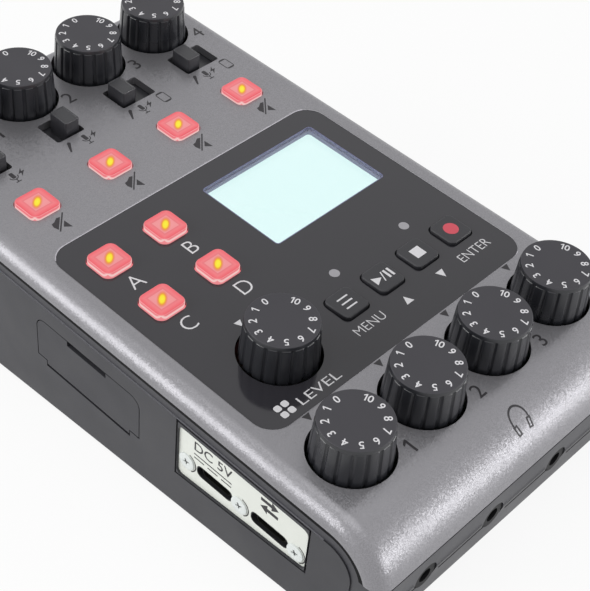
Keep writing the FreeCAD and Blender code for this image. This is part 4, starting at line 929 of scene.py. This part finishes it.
def slide_cap(steps):
    """A cap with its plate and lever, for a switch with this many steps."""
    bpy.ops.object.select_all(action="DESELECT")
    bpy.ops.mesh.primitive_cube_add(size=1, location=(0, 0, CAP_FACE - CAP_SIZE[2] / 2))
    cap = bpy.context.object
    cap.scale = CAP_SIZE
    bpy.ops.object.transform_apply(location=True, scale=True)
    bpy.ops.object.mode_set(mode="EDIT")
    pick(cap, "edges", lambda e: abs(e.verts[0].co.z - e.verts[1].co.z) > 1)
    bpy.ops.mesh.bevel(offset=0.55, segments=4)
    pick(cap, "faces", lambda f: f.normal.z > 0.9)
    bpy.ops.transform.resize(value=(0.97, 0.98, 1), center_override=(0, 0, CAP_FACE))
    pick(cap, "edges", lambda e: all(abs(v.co.z - CAP_FACE) < 1e-3 for v in e.verts))
    bpy.ops.mesh.bevel(offset=0.22, segments=3)
    pick(cap, "faces", lambda f: f.normal.z > 0.99 and f.calc_area() > 5)
    bpy.ops.mesh.inset(thickness=0.1, depth=0)
    bpy.ops.mesh.inset(thickness=0.12, depth=-0.12)
    bpy.ops.object.mode_set(mode="OBJECT")
    plate = box_piece(0, 0, -2.8, CAP_SIZE[0] + 2.55 + 2 * STEP * steps, 10.2, 0.8)
    lever = box_piece(0, 0, -4.4, 1.8, 1.8, 4.0)
    alone(join([cap, plate, lever], "switch_cap"))
    bpy.ops.object.shade_smooth_by_angle(angle=math.radians(35))
    for face in cap.data.polygons:
        face.use_smooth = face.normal.z < 0.99
    return cap


# %% [markdown]
# Switches 1 and 2 have one step and stand at its right end. Switches 3 and 4 have two and stand at the left.

# %% The four switches
for i, column in enumerate(COLUMNS, start=1):
    steps = 1 if i < 3 else 2
    cap = moved(slide_cap(steps), column + (STEP / 2 if steps == 1 else -STEP), SWITCH_ROW)
    cap.name = f"switch_{i}_cap"
    settle(wear(cap, CAP_PLASTIC), f"switch_{i}", [f"switch_{i}"])
print("switch caps:", len(COLUMNS))

# %% [markdown]
# ## The screen
#
# The display is a backlit liquid-crystal panel, seen through the clear pane: an even, very pale cyan light.
# A fine mesh of pixels, 0.22 mm apart, is just there close up.

# %% Display glass
PIXEL = 0.00022


def backlit_glass(name):
    """An even, pale light of its own behind a fine mesh of pixels."""
    material, where = new_material(name)
    cloud = add(material, "ShaderNodeTexNoise", {"Vector": where, "Scale": 25, "Detail": 1.0})
    pixels = add(material, "ShaderNodeTexBrick", {
        "Vector": where, "Scale": 1.0, "Mortar Size": 0.00002, "Brick Width": PIXEL, "Row Height": PIXEL,
        "Color1": linear("#e4fffd"), "Color2": linear("#dffdfb"), "Mortar": linear("#d3f3f1")}, offset=0.0)
    light = add(material, "ShaderNodeMixRGB", {
        "Fac": cloud.outputs["Fac"], "Color1": pixels.outputs["Color"], "Color2": linear("#daf9f8")})
    gloss = add(material, "ShaderNodeMapRange", {
        "Value": cloud.outputs["Fac"], "To Min": 0.15, "To Max": 0.3})
    shader = add(material, "ShaderNodeBsdfPrincipled", {
        "Base Color": linear("#20282a"), "Roughness": gloss.outputs["Result"], "IOR": 1.5,
        "Emission Color": light.outputs["Color"], "Emission Strength": 0.95})
    add(material, "ShaderNodeOutputMaterial", {"Surface": shader.outputs["BSDF"]})
    return material


# %% [markdown]
# Pane and glass are flat plates with rounded corners. A plane whose corners are bevelled and which is then
# extruded gives them cleanly, without a Boolean.

# %% A plate with rounded corners
def rounded_plate(width, height, corner, thick):
    """A plate about the origin, from z = 0 down, with rounded corners."""
    bpy.ops.object.select_all(action="DESELECT")
    bpy.ops.mesh.primitive_plane_add(size=1, location=(0, 0, -thick))
    plate = bpy.context.object
    plate.scale = (width, height, 1)
    bpy.ops.object.transform_apply(location=True, scale=True)
    bpy.ops.object.mode_set(mode="EDIT")
    bpy.ops.mesh.select_all(action="SELECT")
    bpy.ops.mesh.bevel(affect="VERTICES", offset=corner, segments=6)
    bpy.ops.mesh.extrude_region_move(TRANSFORM_OT_translate={"value": (0, 0, thick)})
    bpy.ops.mesh.select_all(action="SELECT")
    bpy.ops.mesh.normals_make_consistent(inside=False)
    bpy.ops.object.mode_set(mode="OBJECT")
    return plate


# %% [markdown]
# The pane fills the window and the glass lies deeper. Between them stands the display's frame, grey with a
# violet tinge, which shows as a band along the far side of the window. It is a plate without its two
# faces, whose wall is given a thickness.

# %% Pane, glass and liner
SCREEN = (18.45, 91.2)
SCREEN_WIDTH, SCREEN_HEIGHT, SCREEN_DEPTH = 38.4, 26.2, 2.4
pane = rounded_plate(SCREEN_WIDTH + 0.2, SCREEN_HEIGHT + 0.2, corner=1.1, thick=0.6)
pane.name = "screen_pane"
settle(wear(moved(pane, *SCREEN, PANEL - 0.15), CLEAR_PANE), "housing", ["screen_window"])

glass = rounded_plate(SCREEN_WIDTH - 1.0, SCREEN_HEIGHT - 1.0, corner=0.6, thick=0.2)
glass.name = "display_glass"
moved(glass, *SCREEN, PANEL - SCREEN_DEPTH + 0.1)
settle(wear(glass, backlit_glass("display_backlit_glass")), "housing")

liner = rounded_plate(SCREEN_WIDTH - 0.04, SCREEN_HEIGHT - 0.04, corner=1.0, thick=SCREEN_DEPTH)
alone(liner)
bpy.ops.object.mode_set(mode="EDIT")
pick(liner, "faces", lambda f: abs(f.normal.z) > 0.9)
bpy.ops.mesh.delete(type="FACE")
bpy.ops.object.mode_set(mode="OBJECT")
finish_modifier(liner, "SOLIDIFY", thickness=0.2, offset=-1)
liner.name = "screen_liner"
settle(wear(moved(liner, *SCREEN, PANEL), BEZEL_PLASTIC), "housing")
print("screen at", SCREEN)

# %% [markdown]
# ## Printing on the deck and the panel
#
# All the fixed signs of one ink are one print on each surface. On the panel it is white: the letters of the
# pads, the names and arrows of the keys, and the four dots, the word and the mark of the pads' knob. Two grey
# spots are the covers of screws.

# %% Print on the panel
def printed(shapes, name, z, ink, place=DECK):
    """Join placed shapes and words into one print on the housing."""
    print_ = moved(join(shapes, name), 0, 0, z + INK / 4)
    return settle(wear(print_, ink), "housing", place=place)


def rounded_oblong(x, y, width, height):
    """An oblong with corners rounded by a third of its width."""
    corner = width / 3
    points = []
    for turn, (sx, sy) in enumerate(((1, 1), (-1, 1), (-1, -1), (1, -1))):
        for i in range(5):
            angle = math.radians(90 * turn + 22.5 * i)
            points.append((x + sx * (width / 2 - corner) + corner * math.cos(angle),
                           y + sy * (height / 2 - corner) + corner * math.sin(angle)))
    return points


panel_print = [moved(lettering(letter, 4.1, weight=-0.012), x, y) for letter, x, y in
               (("A", -34.0, 91.1), ("B", -16.6, 91.2), ("C", -34.0, 73.5), ("D", -16.5, 73.5))]
panel_print += [moved(lettering(word, height, width, weight), x, y) for word, height, width, weight, x, y in (
    ("MENU", 2.5, 9.3, -0.014, -3.65, 46.3), ("ENTER", 2.5, 10.3, -0.014, 33.4, 45.9),
    ("LEVEL", 2.4, 12.4, -0.006, -26.2, 40.9))]
FOUR_DOTS = [rounded_oblong(-36.1 + sx * 1.08, 41.6 + sy * 1.08, 1.7, 1.7)
             for sx in (-1, 1) for sy in (-1, 1)]
KEY_ARROWS = [[(7.3, 44.5), (9.7, 44.5), (8.5, 46.9)], [(21.3, 44.5), (22.5, 46.9), (20.1, 46.9)]]
KNOB_MARK = [(-25.6, 64.7), (-24.6, 66.7), (-26.6, 66.7)]
panel_print += [cut_out(FOUR_DOTS), cut_out(KEY_ARROWS), cut_out([KNOB_MARK])]
printed(panel_print, "panel_print", PANEL, WHITE_INK)
printed([cut_out([disc(2.3, 62.7, 1.3), disc(27.1, 62.7, 1.3)])], "panel_spots", PANEL, GREY_INK)
print("panel: words, dots, arrows and spots")

# %% [markdown]
# On the silver deck the print is dark grey. Each channel has its number at both knobs, a mark at the level
# knob, and a struck-out sign at its mute button. In front of each input switch are its places: a hand
# microphone, a studio microphone with a spark for the supply that it needs, and on the wide switches a
# telephone.

# %% Print on the silver deck
def aside(x, points):
    """An outline drawn about a column, moved to that column."""
    return [(x + px, py) for px, py in points]


MUTE_SIGN = [[(-1.79, 115.52), (1.25, 118.8), (0.34, 119.07), (-1.03, 118.18), (-1.91, 118.03),
              (-2.18, 116.89)],
             [(-0.22, 115.61), (1.42, 114.32), (1.21, 117.24)], stroke((-1.9, 114.8), (2.7, 119.7), 0.36)]
HAND_MICROPHONE = [(-1.15, 135.5), (-0.8, 135.3), (1.2, 138.4), (0.7, 138.9), (0.2, 138.6)]
STUDIO_MICROPHONE = [
    rounded_oblong(-1.35, 137.7, 1.1, 2.2), bow(-1.35, 137.3, 1.15, 0.25, 180, 360, steps=12),
    stroke((-1.35, 136.2), (-1.35, 135.2), 0.28), oblong(-1.35, 135.1, 1.5, 0.28),
    [(0.2, 137.3), (1.9, 138.9), (1.35, 137.75), (2.2, 137.75), (0.5, 136.1), (1.05, 137.3)]]
TELEPHONE = [rounded_oblong(0, 137.2, 2.7, 4.3), oblong(0, 137.2, 2.2, 3.2)]
deck_print = []
for i, x in enumerate(COLUMNS, start=1):
    deck_print += [moved(numeral(i, 3.8, weight=0.002), x + 9.9, 16.9),
                   moved(numeral(i, 4.2, weight=0.002), x + 9.4, 152.7),
                   cut_out([aside(x, [(0, 35.5), (1.1, 37.5), (-1.1, 37.5)])]),
                   cut_out([aside(x, points) for points in MUTE_SIGN])]
    wide = i > 2
    deck_print.append(cut_out([aside(x - (5.6 if wide else 3.1), HAND_MICROPHONE)]))
    deck_print.append(cut_out([aside(x + (-0.4 if wide else 3.5), points) for points in STUDIO_MICROPHONE]))
    if wide:
        deck_print.append(cut_out([aside(x + 5.6, points) for points in TELEPHONE], holes=True))
printed(deck_print, "deck_print", 0, DARK_INK_AND_SHADE)
print("deck: the signs of", len(COLUMNS), "channels")

# %% [markdown]
# ## The edge of the panel's recess
#
# The recess for the panel has a fine chamfer, which shows as a bright line along its far side. It is made
# from a rounded plate: its face is inset and sunk a little, and only the sloping ring is kept. Along the rear
# and the front the bright line is a painted highlight in bright metal. On the right the ring has the cover's
# silver, and on the left it is painted shade, in black.

# %% Chamfer of the panel's recess
PANEL_MIDDLE = (0, 74.3)
BIG_FACE = 100
PAINTED_FROM, SHADED_UP_TO = 41, -43.3
ring = rounded_plate(2 * 44.12, 73.35, corner=5.75, thick=0.1)
alone(ring)
bpy.ops.object.mode_set(mode="EDIT")
pick(ring, "faces", lambda f: f.normal.z < 0.9)
bpy.ops.mesh.delete(type="FACE")
pick(ring, "faces", lambda f: True)
bpy.ops.mesh.inset(thickness=0.3, depth=-0.22)
pick(ring, "faces", lambda f: f.calc_area() > BIG_FACE)
bpy.ops.mesh.delete(type="ONLY_FACE")
bpy.ops.object.mode_set(mode="OBJECT")
ring.name = "panel_recess_chamfer"
wear(moved(ring, *PANEL_MIDDLE, 0.012), RECESS_EDGE_HIGHLIGHT, SILVER_PAINT, BLACK_NYLON_AND_SHADE)
# Painted highlight on the rear and front, the cover's silver on the right, painted shade in black on the
# left.
for face in ring.data.polygons:
    across = face.center.x
    face.material_index = 1 if across > PAINTED_FROM else 2 if across < SHADED_UP_TO else 0
settle(ring, "housing")
print("chamfer:", len(ring.data.polygons), "faces")

# %% [markdown]
# ## The headphone sign on the slope
#
# One sign is printed where the deck curves down to the front. It is drawn flat, cut into narrow strips so
# that it can bend, and each point is then laid on the curve by its distance along it. The slope is part of
# a circle of 15.3 mm radius.

# %% Headphone sign
NOSE = 15.3


def on_the_slope(distance, above=0.0):
    """Place on the slope, in the deck drawing, at a distance down from where the curve starts."""
    angle = distance / NOSE
    radius = NOSE + above
    return NOSE - radius * math.sin(angle), radius * math.cos(angle) - NOSE


HEADPHONES = (1.2, 9.0)
STRIP = 0.345
sign = cut_out([
    bow(0, 0, 2.5, 0.42, 0, 180, squash=1.25), oblong(-2.5, -0.6, 0.42, 1.3), oblong(2.5, -0.6, 0.42, 1.3)]
    + [stroke(a, b, 0.4) for side in (-1, 1) for a, b in (
        ((2.7 * side, -0.7), (2.3 * side, -3.3)), ((1.8 * side, -0.6), (1.4 * side, -3.2)),
        ((2.8 * side, -1.0), (1.7 * side, -0.8)), ((2.4 * side, -3.15), (1.3 * side, -3.0)))])
alone(sign)
bpy.ops.object.mode_set(mode="EDIT")
for i in range(-10, 11):
    bpy.ops.mesh.select_all(action="SELECT")
    bpy.ops.mesh.bisect(plane_co=(0, i * STRIP, 0), plane_no=(0, 1, 0))
bpy.ops.object.mode_set(mode="OBJECT")
for vert in sign.data.vertices:
    y, z = on_the_slope(HEADPHONES[1] - vert.co.y, vert.co.z + INK / 4)
    vert.co = (vert.co.x + HEADPHONES[0], y, z)
sign.name = "headphone_sign"
settle(wear(sign, DARK_INK_AND_SHADE), "housing")
print("headphone sign:", len(sign.data.polygons), "faces")

# %% [markdown]
# ## The port plate on the left side
#
# The white enamelled plate stands upright behind the case's side wall, so its screws and its print are
# modelled on a drawing of that side: x runs forward along the housing as one reads it, y is up, and z
# comes out of the wall. A matrix turns such a drawing to its place, and the other walls get one too.

# %% Drawings of the walls
def wall_drawing(x, y, outwards):
    """The matrix of a drawing on an upright wall, where z comes out of the wall in this direction."""
    up, outwards = Vector((0, 0, 1)), Vector(outwards)
    turned = Matrix((up.cross(outwards), up, outwards)).transposed().to_4x4()
    return DECK @ Matrix.Translation((x, y, 0)) @ turned


HALF_WIDTH = 50
SIDE = wall_drawing(-HALF_WIDTH, 0, (-1, 0, 0))
RIGHT_SIDE = wall_drawing(HALF_WIDTH, 0, (1, 0, 0))
REAR = wall_drawing(0, 172.65, (0, 1, 0))
FRONT = wall_drawing(0, 0, (0, -1, 0))
PLATE_FACE = -0.6
print("left wall from", SIDE @ Vector((0, 0, 0)))

# %% [markdown]
# The cover, the frame and the case are three mouldings. The seam under the silver cover reads as a black
# line: the shade in the gap under the cover's lip is painted as a thin dark strip on the frame. It follows
# the frame's side and its rounded nose.

# %% Painted shade in the seam
# Black for the front's dark joint, and for the painted shade in the seam under the cover.
DARK_JOINT_AND_SEAM_SHADE = moulded_plastic("dark_joint_and_seam_painted_shade", "#0c0c0e", 0.7, grain=0.2, relief=0.01, shine=0.15)
FRAME_SIDE = 49.65


def seam_line(high, low, ends):
    """The line's outline on one side: straight from the rear, then round the nose to a height."""
    points = []
    for z, order in ((high, 1), (low, -1)):
        radius = NOSE + z
        last = math.asin((NOSE + ends) / radius)
        arc = [math.pi / 2 + (last - math.pi / 2) * i / 16 for i in range(17)]
        row = [(-168.8, z)] + [(radius * math.cos(a) - NOSE, radius * math.sin(a) - NOSE) for a in arc]
        points += row[::order]
    return points


outline = seam_line(high=-4.62, low=-6.0, ends=-12.5)
# Painted shade: a dark strip on each side and along the rear, where the cover's lip shades the seam.
printed([cut_out([outline])], "seam_painted_shade_left", FRAME_SIDE - HALF_WIDTH, DARK_JOINT_AND_SEAM_SHADE, place=SIDE)
printed([cut_out([[(-x, z) for x, z in outline][::-1]])], "seam_painted_shade_right", FRAME_SIDE - HALF_WIDTH,
        DARK_JOINT_AND_SEAM_SHADE, place=RIGHT_SIDE)
printed([cut_out([oblong(0, -5.3, 92, 1.3)])], "seam_painted_shade_rear", 0, DARK_JOINT_AND_SEAM_SHADE, place=REAR)
print("seam cords: 3")

# %% [markdown]
# The case's rim stands a third of a millimetre out from the frame, and its edge catches the light as a soft
# pale line. That highlight is painted: a narrow pale strip on each side.

# %% Painted highlight on the case's rim
CASE_RIM_HIGHLIGHT = moulded_plastic("case_rim_painted_highlight", "#7a7a80", 0.4, grain=0.4, relief=0.01, shine=0.6)
# Painted highlight: a pale strip along the rim on each side.
for name, x in (("left", -49.82), ("right", 49.82)):
    printed([cut_out([oblong(x, 92.6, 0.34, 152.2)])], f"case_rim_{name}", -8.2, CASE_RIM_HIGHLIGHT)
print("rims: 2 strips")

# %% [markdown]
# On the front, the frame and the case meet in a hairline at the height of the headphone sockets, which
# interrupt it. It is a dark print in five pieces, and ends where the corners begin to turn.

# %% Parting line on the front
BETWEEN_SOCKETS = ((-45.8, -37.8), (-30.6, -15.0), (-7.8, 7.8), (15.0, 30.6), (37.8, 45.8))
parting = [oblong((a + b) / 2, -19.4, b - a, 0.5) for a, b in BETWEEN_SOCKETS]
printed([cut_out(parting)], "front_parting_line", 0, DARK_JOINT_AND_SEAM_SHADE, place=FRONT)
print("parting line:", len(parting), "pieces")


# %% [markdown]
# A screw starts as a cylinder. Its rim is bevelled, its head is crowned a little, and a cross is sunk into
# it with a Boolean of two crossed, tapered blades, which is how a punch makes it.

# %% One screw
def cross_screw(radius, height):
    """A crowned screw head with a cross in it, standing on z = 0."""
    bpy.ops.object.select_all(action="DESELECT")
    bpy.ops.mesh.primitive_cylinder_add(vertices=48, radius=radius, depth=height, location=(0, 0, height / 2))
    screw = bpy.context.object
    bpy.ops.object.transform_apply(location=True)
    bpy.ops.object.mode_set(mode="EDIT")
    pick(screw, "faces", lambda f: f.normal.z > 0.9)
    bpy.ops.mesh.inset(thickness=radius * 0.3, depth=height * 0.18)
    pick(screw, "edges", lambda e: all(v.co.z > height * 0.9 for v in e.verts)
         and e.calc_length() < radius * 0.3)
    bpy.ops.mesh.bevel(offset=radius * 0.06, segments=2)
    bpy.ops.object.mode_set(mode="OBJECT")
    for turn in (0, math.pi / 2):
        bpy.ops.object.select_all(action="DESELECT")
        bpy.ops.mesh.primitive_cube_add(size=1, location=(0, 0, height * 1.1))
        blade = bpy.context.object
        blade.scale = (radius * 0.95, radius * 0.24, height * 1.2)
        blade.rotation_euler.z = turn
        bpy.ops.object.transform_apply(location=True, rotation=True, scale=True)
        bpy.ops.object.mode_set(mode="EDIT")
        pick(blade, "faces", lambda f: f.normal.z < -0.9)
        bpy.ops.transform.resize(value=(0.82, 0.7, 1), center_override=(0, 0, 0))
        bpy.ops.object.mode_set(mode="OBJECT")
        finish_modifier(screw, "BOOLEAN", object=blade, operation="DIFFERENCE", solver="EXACT")
        put_away(blade)
    alone(screw)
    bpy.ops.object.shade_smooth_by_angle(angle=math.radians(30))
    return screw


# %% [markdown]
# The screw is copied to its three places beside the two ports, turned as the screwdriver left it. A dark
# cross is painted in the bottom of each, as the shade in its recess.

# %% Three screws
SCREWS_FROM_FRONT = (56.65, 40.25, 23.5)
PORTS_HEIGHT = -20.3
CROSS_TURN = math.radians(20)
CROSS = [oblong(0, 0, 1.95, 0.44), oblong(0, 0, 0.44, 1.95)]
screw = cross_screw(radius=2.35, height=0.32)
screws = [moved(another(screw, "screw"), -y, PORTS_HEIGHT, turn=CROSS_TURN) for y in SCREWS_FROM_FRONT]
crosses = [moved(cut_out(CROSS), -y, PORTS_HEIGHT, turn=CROSS_TURN) for y in SCREWS_FROM_FRONT]
put_away(screw)
screws = moved(join(screws, "port_plate_screws"), 0, 0, PLATE_FACE)
settle(wear(screws, SCREW_ENAMEL), "housing", place=SIDE)
# Painted shade: a dark cross in each screw's recess.
printed(crosses, "screw_recess_shadows", PLATE_FACE + 0.165, DARK_INK_AND_SHADE, place=SIDE)
print("screws:", len(SCREWS_FROM_FRONT))

# %% [markdown]
# Over the power socket the plate says what goes in, with the lines that stand for direct current. Over the
# data socket are two opposite arrows. A thin dark crescent beside each screw is a painted shadow at the edge
# of its dip.

# %% Print on the port plate
ARROW_IN = [(-34.4, -11.6), (-31.2, -11.6), (-31.2, -10.7), (-29.2, -12.1), (-31.2, -13.5), (-31.2, -12.6),
            (-34.4, -12.6)]
ARROW_OUT = [(-29.2, -14.9), (-32.4, -14.9), (-32.4, -15.8), (-34.4, -14.4), (-32.4, -13.0), (-32.4, -13.9),
             (-29.2, -13.9)]
plate_print = [moved(lettering("DC 5V", 2.9, 11.6, weight=0.006), -48.8, -13.0),
               cut_out([oblong(-48.8, -15.7, 11.6, 0.34)]),
               cut_out([oblong(-48.8 + i * 4.2, -16.9, 3.1, 0.34) for i in (-1, 0, 1)]),
               cut_out([ARROW_IN]), cut_out([ARROW_OUT])]
printed(plate_print, "port_plate_print", PLATE_FACE, DARK_INK_AND_SHADE, place=SIDE)
# Painted shadow: a dark crescent beside each screw.
rings = [cut_out([bow(-y, PORTS_HEIGHT, 2.75, 0.3, -60, 75)]) for y in SCREWS_FROM_FRONT]
printed(rings, "screw_shadow_rings", PLATE_FACE, DARK_INK_AND_SHADE, place=SIDE)
print("port plate:", len(plate_print), "signs,", len(rings), "crescents")

# %% [markdown]
# The plate's visible corners are rounded and its top edge lies a little below the frame, because a trim of
# case plastic laps over them. It is a filled outline with a rounded hole, made thick. Two dark liners, made
# in the same way, close the gap between the plate and the mouths of the USB sockets.

# %% Trim round the port plate
def soft_corners(points, radius):
    """An outline's corners cut back by a radius and rounded with a curve through three places."""
    rounded = []
    for i, corner in enumerate(points):
        corner = Vector(corner)
        before, after = [(Vector(points[j % len(points)]) - corner).normalized() * radius
                         for j in (i - 1, i + 1)]
        for step in range(7):
            u = step / 6
            rounded.append(tuple(corner + before * (1 - u) ** 2 + after * u ** 2))
    return rounded


def solid_print(outlines, thick, face, name, material):
    """A filled outline with a hole, made thick below its face, on the left side."""
    piece = cut_out(outlines, holes=True)
    piece.name = name
    piece.data.transform(Matrix.Translation((0, 0, face - thick / 2))
                         @ Matrix.Diagonal((1, 1, thick / INK, 1)))
    return settle(wear(piece, material), "housing", place=SIDE)


PLATE_OUTLINE = [(-59.4, -26.14), (-20.2, -22.99), (-20.2, -8.85), (-59.4, -8.85)]
PLATE_OPENING = [(-59.35, -26.08), (-20.25, -22.93), (-20.25, -9.75), (-59.35, -9.75)]
solid_print([PLATE_OUTLINE, soft_corners(PLATE_OPENING, 1.8)], 0.6, 0.0, "port_plate_trim", CASE_PLASTIC)
MOUTHS_HEIGHT = -20.2
for name, x in (("power", -48.0), ("data", -31.25)):
    mouth = [soft_corners([(x + sx * a, MOUTHS_HEIGHT + sy * b)
                           for sx, sy in ((-1, -1), (1, -1), (1, 1), (-1, 1))], 1.7)
             for a, b in ((5.56, 1.81), (5.36, 1.61))]
    solid_print(mouth, 1.6, PLATE_FACE + 0.01, f"usb_{name}_liner", BLACK_NYLON_AND_SHADE)
print("trim and liners: 3")

# %% [markdown]
# ## Floor, backdrop and light
#
# The recorder stands on a plain white floor. To the camera, and in reflections and glass, the floor is white
# of its own accord, with just enough of a real surface in it to catch the recorder's shadow. The world
# behind it is white to them too, and is a weaker light on everything else.

# %% Floor
FLOOR_GLOW = 0.9


def seen_directly(tree):
    """1 for what the camera sees, in a mirror or through glass too, and 0 for light that falls on things."""
    path = add(tree, "ShaderNodeLightPath")
    seen = path.outputs["Is Camera Ray"]
    for ray in ("Is Glossy Ray", "Is Transmission Ray"):
        more = add(tree, "ShaderNodeMath", {0: seen, 1: path.outputs[ray]}, operation="MAXIMUM")
        seen = more.outputs["Value"]
    return seen


def white_floor():
    """A matt white surface that mostly shines by itself where it is seen directly."""
    material, where = new_material("studio_floor")
    cloud = add(material, "ShaderNodeTexNoise", {"Vector": where, "Scale": 3.0})
    white = add(material, "ShaderNodeMapRange", {
        "Value": cloud.outputs["Fac"], "To Min": 0.86, "To Max": 0.9})
    matt = add(material, "ShaderNodeBsdfDiffuse", {"Color": white.outputs["Result"]})
    lit = add(material, "ShaderNodeEmission", {"Color": (1, 1, 1, 1), "Strength": 1.0})
    share = add(material, "ShaderNodeMath", {0: seen_directly(material), 1: FLOOR_GLOW}, operation="MULTIPLY")
    both = add(material, "ShaderNodeMixShader", {
        0: share.outputs["Value"], 1: matt.outputs["BSDF"], 2: lit.outputs["Emission"]})
    add(material, "ShaderNodeOutputMaterial", {"Surface": both.outputs["Shader"]})
    return material


bpy.ops.object.select_all(action="DESELECT")
bpy.ops.mesh.primitive_plane_add(size=12, location=(0, 0, 0))
floor = bpy.context.object
floor.name = "floor"
wear(floor, white_floor())
print("floor:", floor.dimensions.x, "m wide")

# %% [markdown]
# Two large soft lamps give the silver paint its bright bands: one behind on the left, mirrored by the
# rounded left edge, and one in front on the right, mirrored by the slope. A weak lamp above fills the rest.
# Each faces the recorder from a direction, at a distance in metres.

# %% Lamps and world
def softbox(name, direction, distance, size, power):
    """A lamp of some width and height that faces the recorder from a direction."""
    place = Vector(direction).normalized() * distance + Vector((0, 0, 0.03))
    bpy.ops.object.light_add(type="AREA", location=place)
    lamp = bpy.context.object
    lamp.name = name
    lamp.rotation_euler = Vector(direction).to_track_quat("Z", "Y").to_euler()
    lamp.data.shape = "RECTANGLE"
    lamp.data.size, lamp.data.size_y = size
    lamp.data.energy = power
    return lamp


softbox("lamp_behind_left", (-0.80, 0.48, 0.33), 0.9, (0.8, 0.6), 5.4)
softbox("lamp_front_right", (0.58, -0.80, 0.05), 0.9, (1.3, 0.24), 6.4)
softbox("lamp_above", (-0.1, -0.1, 1.0), 1.1, (0.9, 0.9), 3.0)

world = bpy.data.worlds.new("studio")
bpy.context.scene.world = world
world.use_nodes = True
world.node_tree.nodes.clear()
level = add(world, "ShaderNodeMapRange", {"Value": seen_directly(world), "To Min": 0.5, "To Max": 1.0})
sky = add(world, "ShaderNodeBackground", {"Color": (1, 1, 1, 1), "Strength": level.outputs["Result"]})
add(world, "ShaderNodeOutputWorld", {"Surface": sky.outputs["Background"]})
